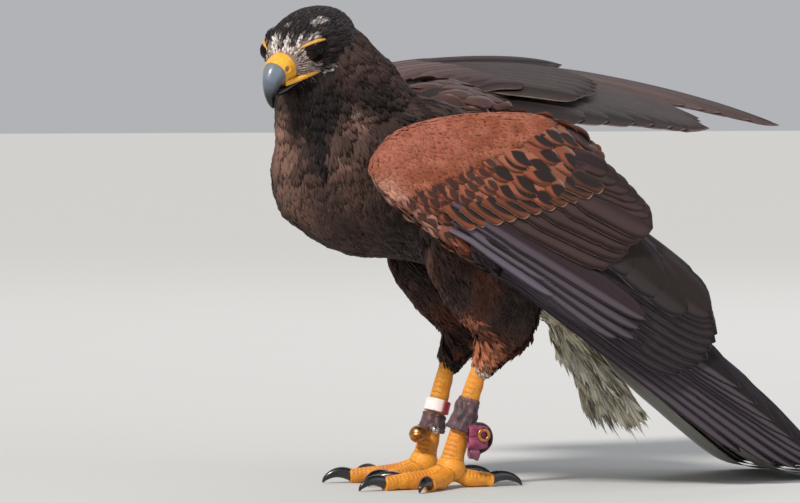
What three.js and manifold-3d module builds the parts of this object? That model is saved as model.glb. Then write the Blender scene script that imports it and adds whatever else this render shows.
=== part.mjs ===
// A life-size still model of a Harris's hawk that stands with both wings part open and its head turned to its left.
// Millimetres, +Z up. The bird faces -X and its left side is -Y. Every part is placed in one design frame,
// whose floor is z = 0 midway between the feet, and the whole bird is then moved to the middle of its own box.
import * as THREE from "three";
import { mergeVertices } from "three/addons/utils/BufferGeometryUtils.js";
import Module from "manifold-3d";

const wasm = await Module();
wasm.setup();

const at = (x, y, z) => new THREE.Vector3(x, y, z);
const radians = THREE.MathUtils.degToRad;

// Clearance between neighbouring parts, and the height of the lowest feather above the floor.
const GAP = 0.3;
const FEATHER_REST = 1.2;
// How softly a feather bends where it meets the floor.
const REST_BEND = 6;
// Thickness of a feather's vane, and where along it its stations stand: in a plain one, a long one, one on a
// strongly bowed sheet and one that bends on the floor.
const VANE_THICK = 0.5;
const VANE_STATIONS = [0, 0.38, 0.9, 1];
const LONG_STATIONS = [0, 0.28, 0.6, 0.92, 1];
const BOWED_STATIONS = [0, 0.17, 0.34, 0.52, 0.92, 1];
const TAIL_STATIONS = [0, 0.5, 0.7, 0.84, 0.95, 1];

// Stations hold the place of the middle line, the half width and the half depth there.
const BODY = [
  { at: at(-106.5, 0, 198), wide: 5, deep: 5 },
  { at: at(-102.5, 0, 198), wide: 18, deep: 19 },
  { at: at(-93, 0, 197), wide: 33, deep: 35 },
  { at: at(-75, 0, 197), wide: 47, deep: 47 },
  { at: at(-48, 0, 195), wide: 54, deep: 53 },
  { at: at(-12, 0, 189), wide: 56, deep: 50 },
  { at: at(24, 0, 175), wide: 52, deep: 47 },
  { at: at(54, 0, 152), wide: 41, deep: 39 },
  { at: at(76, 0, 129), wide: 29, deep: 27 },
  { at: at(87, 0, 117), wide: 16, deep: 15 },
];
const NECK = [
  { at: at(-50, 0, 196), wide: 48, deep: 44 },
  { at: at(-60, 0, 222), wide: 44, deep: 47 },
  { at: at(-67, 0, 243), wide: 39, deep: 41 },
  { at: at(-71, -1, 260), wide: 33, deep: 35 },
  { at: at(-71, 0, 275), wide: 23, deep: 23 },
  { at: at(-70, 2, 284), wide: 13, deep: 13 },
  { at: at(-70, 2, 287), wide: 4, deep: 4 },
];
// The plane that parts the neck from the torso: a point of it and its normal, towards the torso.
const NECK_CUT = { at: at(-62, 0, 222), normal: at(0.36, 0, -0.93).normalize() };

// The head, in its own frame: origin at the middle of the skull, facing -X, and where that frame stands.
const HEAD_PLACE = { at: at(-94, -12, 269.5), turn: radians(37), nod: radians(20) };
const SKULL = [
  { at: at(40, 0, -3), wide: 9, deep: 8 },
  { at: at(33, 0, -1), wide: 19, deep: 17 },
  { at: at(19, 0, 0), wide: 25, deep: 22 },
  { at: at(4, 0, 0), wide: 26, deep: 22 },
  { at: at(-9, 0, -1), wide: 22.5, deep: 19.5 },
  { at: at(-17, 0, -3), wide: 16.5, deep: 15 },
  { at: at(-24, 0, -5), wide: 10.5, deep: 9.8 },
];
const EYE = { at: at(-10.5, 15, 3), radius: 7.4, lid: 1.5, turn: radians(32) };
const BROW = [
  { at: at(-23, 8, 6.5), wide: 1.6, deep: 3 },
  { at: at(-15, 14, 10.6), wide: 2.4, deep: 6.2 },
  { at: at(-5, 18, 11.6), wide: 2.6, deep: 6.2 },
  { at: at(6, 21, 9), wide: 1.8, deep: 3.6 },
];
const UPPER_BILL = [
  { at: at(-20, 0, -3), wide: 9.6, deep: 9.4 },
  { at: at(-27, 0, -2.2), wide: 8.6, deep: 8.6 },
  { at: at(-33, 0, -3.6), wide: 7.2, deep: 7.8 },
  { at: at(-38, 0, -7), wide: 5.4, deep: 6.4 },
  { at: at(-41.4, 0, -12), wide: 3.8, deep: 4.7 },
  { at: at(-42.6, 0, -17.6), wide: 2.2, deep: 2.9 },
  { at: at(-42, 0, -22.2), wide: 0.7, deep: 0.9 },
];
const CERE_EDGE = -31.5;
const LOWER_BILL = [
  { at: at(-15, 0, -13), wide: 9, deep: 3.6 },
  { at: at(-26, 0, -14), wide: 7, deep: 3.2 },
  { at: at(-33, 0, -15), wide: 4.8, deep: 2.6 },
  { at: at(-37, 0, -15.2), wide: 2.6, deep: 1.4 },
];
const MOUTH = { height: -11, slope: 0.06, hook: { at: at(-43, 0, -20), size: at(8.5, 8, 10.5) } };
const NOSTRIL = { at: at(-28.6, 7.8, -1.4), long: 2.5, high: 1.6, depth: 2.4, tilt: 28 };
const GAPE = [
  { at: at(-25, 6.8, -9.8), wide: 2.3, deep: 1.9 },
  { at: at(-16, 12.6, -9.6), wide: 2.2, deep: 1.9 },
  { at: at(-5, 18.6, -9.8), wide: 1.6, deep: 1.5 },
];

// Legs, given for the left side. The right ones are their mirror image.
const THIGH = [
  { at: at(12, -33, 178), wide: 20, deep: 28 },
  { at: at(15, -35, 150), wide: 22, deep: 39 },
  { at: at(24, -34, 121), wide: 20, deep: 32 },
  { at: at(28, -32, 99), wide: 14, deep: 21 },
  { at: at(22, -29.5, 84), wide: 8.8, deep: 12.5 },
  { at: at(15.2, -27.6, 70), wide: 6.8, deep: 7.2 },
];
const TARSUS = [
  { at: at(18.8, -28.6, 84), wide: 5, deep: 6 },
  { at: at(11.6, -26.6, 60), wide: 4.7, deep: 5.5 },
  { at: at(5, -25, 38), wide: 4.9, deep: 5.8 },
  { at: at(-1, -24, 17), wide: 6.6, deep: 7 },
];
const FOOT = { at: at(-2, -24, 12.5), wide: 9.2, deep: 9.2, high: 8.5, yaw: radians(7) };
// Toes: bearing from straight ahead (positive is outwards), length of the toe, radius at the root, chord of the claw.
const TOES = {
  inner: { bearing: radians(-30), reach: 32, thick: 5.2, claw: 21 },
  middle: { bearing: radians(2), reach: 47, thick: 5.3, claw: 19 },
  outer: { bearing: radians(40), reach: 35, thick: 4.8, claw: 16 },
  hind: { bearing: radians(172), reach: 27, thick: 5, claw: 22 },
};
// Along a toe, as shares of its reach: height of the middle line, and thickness as a share of the root's.
const TOE_JOINTS = [
  { share: 0.02, height: 11, size: 1.2 },
  { share: 0.3, height: 7.4, size: 1.05 },
  { share: 0.52, height: 5.6, size: 1.08 },
  { share: 0.76, height: 5.4, size: 0.9 },
  { share: 1, height: 4.3, size: 0.88 },
];
// Along a claw, as shares of its chord: height of the middle line and half width.
const CLAW_JOINTS = [
  { share: -0.12, height: 5, half: 3.3 },
  { share: 0.2, height: 7, half: 3.1 },
  { share: 0.52, height: 6.6, half: 2.4 },
  { share: 0.78, height: 4, half: 1.5 },
  { share: 0.9, height: 1.1, half: 0.5 },
];
const TOE_SINK = 0.5;

// What the bird wears on its legs. Heights are above the floor, along the tarsus.
const LEG_ROOM = GAP + 0.1;
const RING = { height: 47, tall: 7.5, top: 8.2, bottom: 8.2 };
const CUFF_RIGHT = { height: 37, tall: 11, top: 8, bottom: 9.4 };
const CUFF_LEFT = { height: 45, tall: 21, top: 7.6, bottom: 11.2 };
const BELL = { at: at(-9, 15, 30.5), radius: 5.6, slot: 1.2 };
const SMALL_BELL = { at: at(1.2, 12.6, 33), radius: 2.8 };
const BELL_STRAP = { start: at(6, 22, 34), half: 1.8 };
const KNOT = { at: at(14.5, -33.5, 31), wide: 11, tall: 14, deep: 6, corner: 3, lean: radians(14) };
const EYELET = { radius: 4.4, hole: 2, thick: 2 };

// A wing's feathers lie on a gently arched sheet, given by its height over two of the axes. A row's roots and tips
// are places on that sheet, first the outermost feather. "span" is the share of the wing from its outermost feather
// inwards, and the feathers rise by "rise" over the whole of it, so that each lies over the one outside it.
// "over" is how far the flesh of the arm or hand stands over the sheet, so that it holds the roots of each row.
const LEFT_WING = {
  name: "wing_left",
  seed: 11,
  outward: -1,
  sheet: { upright: true, base: -134.7, first: 0.278, second: 0.365, arch: { high: 8, middle: 90, front: 170, back: 170 } },
  rise: 19,
  arm: [
    { spot: [-76, 197], over: 0, wide: 3, deep: 3 },
    { spot: [-71, 197], over: 0, wide: 13, deep: 7 },
    { spot: [-56, 196], over: 1, wide: 26, deep: 9.5 },
    { spot: [-28, 194], over: 2, wide: 35, deep: 11.5 },
    { spot: [6, 193], over: 4, wide: 38, deep: 12 },
    { spot: [38, 192], over: 7, wide: 36, deep: 12.5 },
    { spot: [66, 186], over: 7, wide: 27, deep: 8 },
    { spot: [80, 180], over: 7, wide: 10, deep: 4 },
  ],
  hand: [
    { spot: [-60, 186], over: 0, wide: 12, deep: 7 },
    { spot: [-38, 172], over: -2, wide: 13, deep: 7 },
    { spot: [-12, 154], over: -4.5, wide: 12, deep: 6.8 },
    { spot: [10, 138], over: -8, wide: 6, deep: 4 },
  ],
  humerus: [
    { at: at(-34, -16, 196), wide: 18, deep: 16 },
    { at: at(-22, -40, 200), wide: 20, deep: 16 },
    { at: at(4, -56, 202), wide: 17, deep: 13 },
    { at: at(32, -58, 198), wide: 9, deep: 8 },
  ],
  rows: [
    {
      name: "primaries", count: 10, span: [0, 0.44], lift: 0, width: 28, lead: 0.3, tilt: 0.07, point: 0.3, bow: -0.015,
      roots: [[2, 142], [-20, 160], [-44, 182]],
      tips: [[172, 21], [210, 8], [232, 7], [219, 21], [195, 39], [172, 58]],
    },
    {
      name: "secondaries", count: 9, span: [0.49, 0.88], lift: 0, width: 35, lead: 0.42, tilt: 0.07, point: 0.6,
      roots: [[-36, 182], [-6, 180], [30, 183]],
      tips: [[126, 68], [146, 76], [155, 90], [149, 102]],
    },
    {
      name: "tertials", count: 3, span: [0.93, 1], lift: 0.2, width: 36, lead: 0.45, tilt: 0.07, point: 0.7,
      roots: [[36, 184], [46, 188]],
      tips: [[133, 104], [107, 121], [74, 146]],
    },
    {
      name: "primary_coverts", count: 5, span: [0.02, 0.42], lift: 9.6, width: 19, lead: 0.42, tilt: 0.07, point: 0.5,
      roots: [[-12, 158], [-44, 184]],
      tips: [[52, 104], [74, 91], [92, 90], [100, 98]],
    },
    {
      name: "greater_coverts", count: 7, span: [0.49, 0.95], lift: 7, width: 27, lead: 0.48, tilt: 0.07, point: 0.75,
      roots: [[-40, 184], [-8, 184], [36, 190]],
      tips: [[60, 122], [82, 137], [100, 148], [114, 154]],
    },
    {
      name: "alula", count: 2, span: [0.1, 0.2], lift: 14.4, width: 14, lead: 0.4, tilt: 0.07, point: 0.45,
      roots: [[-48, 176], [-46, 186]],
      tips: [[42, 118], [34, 134]],
    },
    {
      name: "median_coverts", count: 7, span: [0.25, 0.7], lift: 13.6, width: 21, lead: 0.5, tilt: 0.07, point: 0.85,
      roots: [[-48, 186], [-20, 187], [16, 190], [42, 196]],
      tips: [[-24, 160], [12, 164], [48, 171], [88, 182]],
    },
  ],
};

const RIGHT_WING = {
  name: "wing_right",
  seed: 23,
  outward: 1,
  sheet: { upright: false, base: 231, first: -0.2165, second: 0.34, arch: { high: 9, middle: 170, front: 88, back: 150 } },
  rise: 19,
  arm: [
    { spot: [-48, 122], over: 0, wide: 3, deep: 3 },
    { spot: [-43, 119], over: 0, wide: 12, deep: 6.5 },
    { spot: [-28, 110], over: 1, wide: 24, deep: 9 },
    { spot: [-8, 96], over: 2, wide: 33, deep: 10.5 },
    { spot: [12, 78], over: 4, wide: 37, deep: 11.5 },
    { spot: [32, 60], over: 7, wide: 36, deep: 12 },
    { spot: [52, 44], over: 7, wide: 28, deep: 8 },
    { spot: [62, 36], over: 7, wide: 10, deep: 4 },
  ],
  hand: [
    { spot: [-30, 114], over: 0, wide: 11, deep: 6.5 },
    { spot: [-4, 123], over: -1, wide: 12, deep: 7.5 },
    { spot: [24, 131], over: -5, wide: 11, deep: 6.8 },
    { spot: [50, 137], over: -8, wide: 6, deep: 4 },
  ],
  humerus: [
    { at: at(-34, 16, 200), wide: 18, deep: 16 },
    { at: at(-26, 38, 218), wide: 20, deep: 16 },
    { at: at(-4, 58, 234), wide: 17, deep: 12 },
    { at: at(16, 72, 244), wide: 9, deep: 8 },
  ],
  rows: [
    {
      name: "primaries", count: 10, span: [0, 0.44], lift: 0, width: 28, lead: 0.3, tilt: 0.07, point: 0.3, bow: 0.015, stations: BOWED_STATIONS,
      roots: [[42, 136], [14, 129], [-16, 119]],
      tips: [[258, 188], [298, 196], [319, 189], [298, 170], [254, 150], [224, 134]],
    },
    {
      name: "secondaries", count: 9, span: [0.49, 0.88], lift: 0, width: 35, lead: 0.42, tilt: 0.07, point: 0.6, stations: LONG_STATIONS,
      roots: [[-10, 114], [10, 98], [34, 72]],
      tips: [[212, 112], [206, 88], [188, 68], [166, 52]],
    },
    {
      name: "tertials", count: 3, span: [0.93, 1], lift: 0.2, width: 36, lead: 0.45, tilt: 0.07, point: 0.7,
      roots: [[36, 66], [44, 52]],
      tips: [[150, 44], [126, 30], [98, 22]],
    },
    {
      name: "primary_coverts", count: 5, span: [0.02, 0.42], lift: 9.6, width: 19, lead: 0.42, tilt: 0.07, point: 0.5,
      roots: [[20, 130], [-12, 119]],
      tips: [[130, 153], [136, 142], [124, 130]],
    },
    {
      name: "greater_coverts", count: 7, span: [0.49, 0.95], lift: 7, width: 27, lead: 0.48, tilt: 0.07, point: 0.75,
      roots: [[-12, 114], [8, 98], [36, 68]],
      tips: [[128, 118], [136, 98], [120, 76], [100, 54]],
    },
    {
      name: "alula", count: 2, span: [0.1, 0.2], lift: 14.4, width: 14, lead: 0.4, tilt: 0.07, point: 0.45,
      roots: [[-26, 121], [-24, 113]],
      tips: [[50, 133], [44, 123]],
    },
    {
      name: "median_coverts", count: 7, span: [0.25, 0.7], lift: 13.6, width: 21, lead: 0.5, tilt: 0.07, point: 0.85,
      roots: [[-26, 112], [-8, 98], [14, 79], [34, 58]],
      tips: [[38, 122], [52, 104], [58, 82], [72, 54]],
    },
  ],
};

// The tail's feathers lie on a sheet that slopes down behind the body. Rows go from the middle feather outwards.
const TAIL = {
  base: [
    { at: at(74, 0, 130), wide: 26, deep: 22 },
    { at: at(91, 0, 110), wide: 22, deep: 17 },
    { at: at(107, 0, 93), wide: 18, deep: 10 },
    { at: at(119, 0, 82), wide: 13, deep: 4 },
  ],
  rows: [
    { name: "quills", count: 12, from: 92, length: 214, slope: 37.5, spread: 22, fan: 8, width: 33, step: -1.6, point: 0.7 },
    { name: "upper", count: 4, from: 86, length: 74, slope: 37.5, spread: 22, fan: 8, width: 30, step: -1.6, lift: 4.2, point: 0.9 },
    { name: "under", count: 6, from: 84, length: 92, slope: 56, spread: 20, fan: 13, width: 26, step: 1.6, lift: -11, point: 0.95 },
  ],
  root: at(96, 0, 101),
  offMiddle: 0.25,
  layer: 1.6,
};

const LOOKS = {
  plumage: { color: 0x2b201d, roughness: 0.85, metalness: 0 },
  flight: { color: 0x2a2224, roughness: 0.7, metalness: 0 },
  cere: { color: 0xe6a92c, roughness: 0.5, metalness: 0 },
  horn: { color: 0x4a5562, roughness: 0.35, metalness: 0 },
  eye: { color: 0x24140c, roughness: 0.05, metalness: 0 },
  scales: { color: 0xe9a02a, roughness: 0.55, metalness: 0 },
  claw: { color: 0x1a1a1c, roughness: 0.3, metalness: 0 },
  leather: { color: 0x4b3238, roughness: 0.6, metalness: 0 },
  brass: { color: 0xb08a4a, roughness: 0.3, metalness: 1 },
  nickel: { color: 0xb9b6ae, roughness: 0.25, metalness: 1 },
  band: { color: 0xe8d6d4, roughness: 0.4, metalness: 0 },
};
const material = Object.fromEntries(
  Object.entries(LOOKS).map(([name, look]) => [name, new THREE.MeshStandardMaterial({ name, ...look })]),
);

const bird = new THREE.Group();

// Solids

/** A closed geometry as a solid. A geometry that came out inside out is turned the right way. */
function solidOf(geometry) {
  const bare = geometry.clone();
  bare.deleteAttribute("normal");
  bare.deleteAttribute("uv");
  const merged = mergeVertices(bare, 1e-4);
  const vertProperties = new Float32Array(merged.attributes.position.array);
  const triVerts = new Uint32Array(merged.index.array);
  const made = new wasm.Manifold(new wasm.Mesh({ numProp: 3, vertProperties, triVerts }));
  if (made.volume() > 0) return made;
  for (let i = 0; i < triVerts.length; i += 3) {
    [triVerts[i + 1], triVerts[i + 2]] = [triVerts[i + 2], triVerts[i + 1]];
  }
  return new wasm.Manifold(new wasm.Mesh({ numProp: 3, vertProperties, triVerts }));
}

/** All the solids of a list joined into one. */
function joined(solids) {
  return solids.reduce((whole, next) => whole.add(next));
}

/** The largest closed body of a solid, without its loose scraps. */
function largest(solid) {
  return solid.decompose().reduce((best, next) => (next.volume() > best.volume() ? next : best));
}

/** Adds a solid to the bird as a named mesh. */
function addPart(name, solid, look, parent = bird) {
  const mesh = largest(solid).getMesh();
  const geometry = new THREE.BufferGeometry();
  const places = new Float32Array(mesh.numVert * 3);
  for (let i = 0; i < mesh.numVert; i++) {
    places.set(mesh.vertProperties.subarray(i * mesh.numProp, i * mesh.numProp + 3), i * 3);
  }
  geometry.setAttribute("position", new THREE.BufferAttribute(places, 3));
  geometry.setIndex(new THREE.BufferAttribute(new Uint32Array(mesh.triVerts), 1));
  geometry.computeVertexNormals();
  const part = new THREE.Mesh(geometry, material[look]);
  part.name = name;
  parent.add(part);
  return part;
}

// Forms

/** A rounded form swept through stations. "across" is the direction of its half width, and "grow" makes it fatter. */
function sweep(stations, { sides = 12, steps = 10, across = at(0, 1, 0), grow = 0 } = {}) {
  const path = new THREE.CatmullRomCurve3(stations.map((s) => s.at));
  const sizes = new THREE.CatmullRomCurve3(stations.map((s) => at(s.wide, s.deep, 0)));
  const geometry = new THREE.CylinderGeometry(1, 1, 1, sides, steps);
  const places = geometry.attributes.position;
  for (let i = 0; i < places.count; i++) {
    const t = THREE.MathUtils.clamp(0.5 - places.getY(i), 0, 1);
    const along = path.getTangent(t);
    const deep = along.clone().cross(across).normalize();
    const wide = deep.clone().cross(along).normalize();
    const size = sizes.getPoint(t);
    const end = t === 0 ? -grow : t === 1 ? grow : 0;
    const point = path
      .getPoint(t)
      .addScaledVector(along, end)
      .addScaledVector(wide, places.getX(i) * (size.x + grow))
      .addScaledVector(deep, places.getZ(i) * (size.y + grow));
    places.setXYZ(i, point.x, point.y, point.z);
  }
  return solidOf(geometry);
}

/** An ellipsoid with the half sizes of "size". */
function ball(centre, size, segments = 16) {
  const geometry = new THREE.SphereGeometry(1, segments, Math.round(segments / 2));
  geometry.scale(size.x, size.y, size.z);
  geometry.translate(centre.x, centre.y, centre.z);
  return solidOf(geometry);
}

/** A round bar between two points, with a radius at each end. */
function bar(from, to, startRadius, endRadius, sides = 16) {
  const geometry = new THREE.CylinderGeometry(endRadius, startRadius, from.distanceTo(to), sides);
  const turn = new THREE.Quaternion().setFromUnitVectors(at(0, 1, 0), to.clone().sub(from).normalize());
  geometry.applyQuaternion(turn);
  const middle = from.clone().add(to).multiplyScalar(0.5);
  geometry.translate(middle.x, middle.y, middle.z);
  return solidOf(geometry);
}

/** A block with rounded corners seen along Y, leaning by "lean" about Y. */
function roundedBlock({ wide, tall, deep, corner, lean }, centre) {
  const x = wide / 2;
  const y = tall / 2;
  const outline = new THREE.Shape();
  outline.moveTo(-x + corner, -y);
  outline.absarc(x - corner, -y + corner, corner, -Math.PI / 2, 0);
  outline.absarc(x - corner, y - corner, corner, 0, Math.PI / 2);
  outline.absarc(-x + corner, y - corner, corner, Math.PI / 2, Math.PI);
  outline.absarc(-x + corner, -y + corner, corner, Math.PI, Math.PI * 1.5);
  const bevel = { bevelThickness: corner / 3, bevelSize: corner / 3, bevelSegments: 1, curveSegments: 2 };
  const geometry = new THREE.ExtrudeGeometry(outline, { depth: deep, ...bevel });
  geometry.translate(0, 0, -deep / 2);
  geometry.rotateX(Math.PI / 2);
  geometry.rotateY(lean);
  geometry.translate(centre.x, centre.y, centre.z);
  return solidOf(geometry);
}

// Feathers


/** A seeded run of numbers from -1 to 1. */
function drawer(seed) {
  let state = seed;
  return () => {
    state = (state * 16807) % 2147483647;
    return (2 * state) / 2147483647 - 1;
  };
}

/** A height that bends softly until it runs along the floor. */
function laid(z, rest) {
  return rest + REST_BEND * Math.log(1 + Math.exp((z - rest) / REST_BEND));
}

/** The share of a vane's width at a share of its length: narrow at the root, full in the middle, rounded at the tip. */
function vaneWidth(share, point) {
  if (share < 0.4) return 0.45 + 0.55 * (share / 0.4);
  const end = 0.12 + 0.3 * point;
  return 1 - (1 - end) * ((share - 0.4) / 0.6) ** (3 + 7 * point);
}

/**
 * One feather's vane as a thin closed strip. "place" turns two coordinates along a sheet and a height over it into a
 * point. "leading" is the side of the vane that stands up, 1 for left of its way and -1 for right of it.
 */
function vane(place, { root, tip, height, width, lead, tilt, point, leading, bow = 0, rest, stations = VANE_STATIONS }) {
  const along = [tip[0] - root[0], tip[1] - root[1]];
  const reach = Math.hypot(...along);
  const side = [(-leading * along[1]) / reach, (leading * along[0]) / reach];
  const grid = stations.map((share) => {
    const bowed = 4 * share * (1 - share) * bow * reach;
    const full = width * vaneWidth(share, point);
    return [lead, lead - 1].map((edge) => {
      const off = edge * full;
      const first = root[0] + share * along[0] + (off + bowed) * side[0];
      const second = root[1] + share * along[1] + (off + bowed) * side[1];
      const spot = place(first, second, height + tilt * off);
      return spot.setZ(laid(spot.z, rest));
    });
  });
  return shell(grid, VANE_THICK);
}

/** A closed skin of even thickness over a grid of points, split into triangles alike on both faces. */
function shell(grid, thick) {
  const rows = grid.length;
  const columns = grid[0].length;
  const places = [];
  for (const side of [0.5, -0.5]) {
    grid.forEach((line, k) =>
      line.forEach((p, j) => {
        const along = grid[Math.min(k + 1, rows - 1)][j].clone().sub(grid[Math.max(k - 1, 0)][j]);
        const across = line[Math.min(j + 1, columns - 1)].clone().sub(line[Math.max(j - 1, 0)]);
        const normal = across.cross(along).normalize();
        places.push(p.clone().addScaledVector(normal, side * thick));
      }),
    );
  }
  const index = [];
  const top = (k, j) => k * columns + j;
  const under = (k, j) => rows * columns + top(k, j);
  const quad = (a, b, c, d) => index.push(a, b, c, b, d, c);
  for (let k = 0; k < rows - 1; k++) {
    for (let j = 0; j < columns - 1; j++) {
      quad(top(k, j), top(k, j + 1), top(k + 1, j), top(k + 1, j + 1));
      index.push(under(k, j), under(k + 1, j), under(k, j + 1));
      index.push(under(k, j + 1), under(k + 1, j), under(k + 1, j + 1));
    }
    quad(under(k, 0), top(k, 0), under(k + 1, 0), top(k + 1, 0));
    quad(top(k, columns - 1), under(k, columns - 1), top(k + 1, columns - 1), under(k + 1, columns - 1));
  }
  for (let j = 0; j < columns - 1; j++) {
    quad(under(0, j), under(0, j + 1), top(0, j), top(0, j + 1));
    quad(top(rows - 1, j), top(rows - 1, j + 1), under(rows - 1, j), under(rows - 1, j + 1));
  }
  const geometry = new THREE.BufferGeometry();
  geometry.setAttribute("position", new THREE.Float32BufferAttribute(places.flatMap((p) => p.toArray()), 3));
  geometry.setIndex(index);
  return solidOf(geometry);
}

// Neck and torso

const trunk = (grow = 0) =>
  joined([sweep(BODY, { sides: 20, steps: 14, grow }), sweep(NECK, { sides: 18, steps: 8, grow })]);

/** Neck and torso, parted by a thin cut. */
function addTrunk(headInPlace) {
  const { normal } = NECK_CUT;
  const offset = normal.dot(NECK_CUT.at);
  const whole = trunk();
  const torso = whole.trimByPlane(normal.toArray(), offset + GAP / 2);
  const neck = whole.trimByPlane(normal.clone().negate().toArray(), -offset + GAP / 2);
  addPart("torso", torso, "plumage");
  addPart("neck", neck.subtract(headInPlace), "plumage");
}

// Head

const mirrored = (stations) => stations.map((s) => ({ ...s, at: at(s.at.x, -s.at.y, s.at.z) }));
const bothSides = (make) => [1, -1].map((side) => make(side));

/** Where the head's own frame stands in the design frame. */
function headMatrix() {
  const turn = new THREE.Matrix4().makeRotationZ(HEAD_PLACE.turn);
  const nod = new THREE.Matrix4().makeRotationY(-HEAD_PLACE.nod);
  return turn.multiply(nod).setPosition(HEAD_PLACE.at);
}

const eyeCentre = (side) => at(EYE.at.x, side * EYE.at.y, EYE.at.z);
const eyeBall = (side, grow = 0) => ball(eyeCentre(side), at(1, 1, 1).multiplyScalar(EYE.radius + grow), 12);

/** The ring of skin that rims an eye, square to the way the eye looks. */
function eyeRim(side) {
  const geometry = new THREE.TorusGeometry(EYE.radius * 0.86, EYE.lid, 4, 12);
  geometry.scale(1, 0.9, 1);
  const look = at(-Math.sin(EYE.turn), side * Math.cos(EYE.turn), 0);
  geometry.applyQuaternion(new THREE.Quaternion().setFromUnitVectors(at(0, 0, 1), look));
  const centre = eyeCentre(side).addScaledVector(look, EYE.radius * 0.5);
  geometry.translate(centre.x, centre.y, centre.z);
  return solidOf(geometry);
}

/** The shelf of bone and skin over an eye. */
const brow = (side) => sweep(side > 0 ? BROW : mirrored(BROW), { sides: 6, steps: 5, across: at(0, 0, 1) });
const gapeFold = (side, grow = 0) =>
  sweep(side > 0 ? GAPE : mirrored(GAPE), { sides: 6, steps: 4, across: at(0, 0.3, 1), grow });
const skull = (grow = 0) => sweep(SKULL, { sides: 18, steps: 10, grow });
const upperBill = (grow = 0) => sweep(UPPER_BILL, { sides: 12, steps: 10, grow });
const lowerBill = (grow = 0) => sweep(LOWER_BILL, { sides: 10, steps: 4, grow });

/** What lies under the mouth line, apart from the hook's room, so that the hook reaches down past the line. */
function underMouth(raise) {
  const geometry = new THREE.BoxGeometry(60, 60, 40);
  geometry.translate(-30, 0, -20);
  geometry.rotateY(-MOUTH.slope);
  geometry.translate(0, 0, MOUTH.height + raise);
  return solidOf(geometry);
}

/** A nostril's hollow. */
function nostril(side) {
  return ball(at(0, 0, 0), at(NOSTRIL.long, NOSTRIL.depth, NOSTRIL.high), 10)
    .rotate([0, NOSTRIL.tilt, 0])
    .translate([NOSTRIL.at.x, side * NOSTRIL.at.y, NOSTRIL.at.z]);
}

/** Adds the head's parts in the head's own frame, and returns the room they take, in the design frame. */
function addHead() {
  const head = new THREE.Group();
  const matrix = headMatrix();
  head.applyMatrix4(matrix);
  bird.add(head);

  const hook = ball(MOUTH.hook.at, MOUTH.hook.size, 12);
  const belowBill = underMouth(0).subtract(hook);
  const front = bar(at(CERE_EDGE, 0, -3), at(CERE_EDGE - 40, 0, -3), 30, 30);
  const back = bar(at(CERE_EDGE - GAP, 0, -3), at(CERE_EDGE + 50, 0, -3), 30, 30);
  const sockets = joined(bothSides((side) => eyeBall(side, GAP)));
  const gapeRoom = bothSides((side) => gapeFold(side, GAP));
  const overMouth = upperBill().subtract(belowBill);
  const cere = joined([overMouth.subtract(front), ...bothSides((side) => gapeFold(side))]);
  const billRoom = joined([upperBill(GAP), lowerBill(GAP), ...gapeRoom]);
  const lower = lowerBill().intersect(underMouth(-GAP));
  const mask = joined([skull(), ...bothSides(eyeRim), ...bothSides(brow)]);

  addPart("head", mask.subtract(sockets).subtract(billRoom), "plumage", head);
  addPart("cere", cere.subtract(joined(bothSides(nostril))).subtract(sockets), "cere", head);
  addPart("bill_upper", overMouth.subtract(back), "horn", head);
  addPart("bill_lower", lower.subtract(upperBill(GAP).subtract(belowBill)).subtract(joined(gapeRoom)), "horn", head);
  addPart("eye_right", eyeBall(1), "eye", head);
  addPart("eye_left", eyeBall(-1), "eye", head);
  return joined([skull(GAP), billRoom]).transform(matrix.toArray());
}

// Legs and feet

const onSide = (point, side) => at(point.x, -side * point.y, point.z);
const stationsOn = (stations, side) => stations.map((s) => ({ ...s, at: onSide(s.at, side) }));
const thigh = (side, grow = 0) => sweep(stationsOn(THIGH, side), { sides: 16, steps: 10, grow });
const tarsus = (side, grow = 0) => sweep(stationsOn(TARSUS, side), { sides: 10, steps: 5, grow });

/** The way a toe points along the floor. */
function toeDirection(toe, side) {
  const bearing = FOOT.yaw + toe.bearing;
  return at(-Math.cos(bearing), side * Math.sin(bearing), 0);
}

/** A toe from inside the foot out to the root of its claw. */
function toeSolid(toe, side, grow = 0) {
  const direction = toeDirection(toe, side);
  const foot = onSide(FOOT.at, side);
  const stations = TOE_JOINTS.map(({ share, height, size }) => ({
    at: foot.clone().addScaledVector(direction, toe.reach * share).setZ(height),
    wide: toe.thick * size,
    deep: toe.thick * size * 0.95,
  }));
  return sweep(stations, { sides: 7, steps: 5, across: at(-direction.y, direction.x, 0), grow });
}

/** A claw that leaves the toe's end, rises a little and curves down to just over the floor. */
function clawSolid(toe, side) {
  const direction = toeDirection(toe, side);
  const start = onSide(FOOT.at, side).addScaledVector(direction, toe.reach);
  const stations = CLAW_JOINTS.map(({ share, height, half }) => ({
    at: start.clone().addScaledVector(direction, share * toe.claw).setZ(height),
    wide: half,
    deep: half * 1.15,
  }));
  return sweep(stations, { sides: 6, steps: 3, across: at(-direction.y, direction.x, 0) });
}

/** One foot with its toes, standing on small flats. */
function footSolid(side, grow = 0) {
  const size = at(FOOT.deep + grow, FOOT.wide + grow, FOOT.high + grow);
  const heel = ball(onSide(FOOT.at, side), size, 10);
  const toes = Object.values(TOES).map((toe) => toeSolid(toe, side, grow));
  return joined([heel, ...toes]).trimByPlane([0, 0, 1], TOE_SINK).translate([0, 0, -TOE_SINK]);
}

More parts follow.
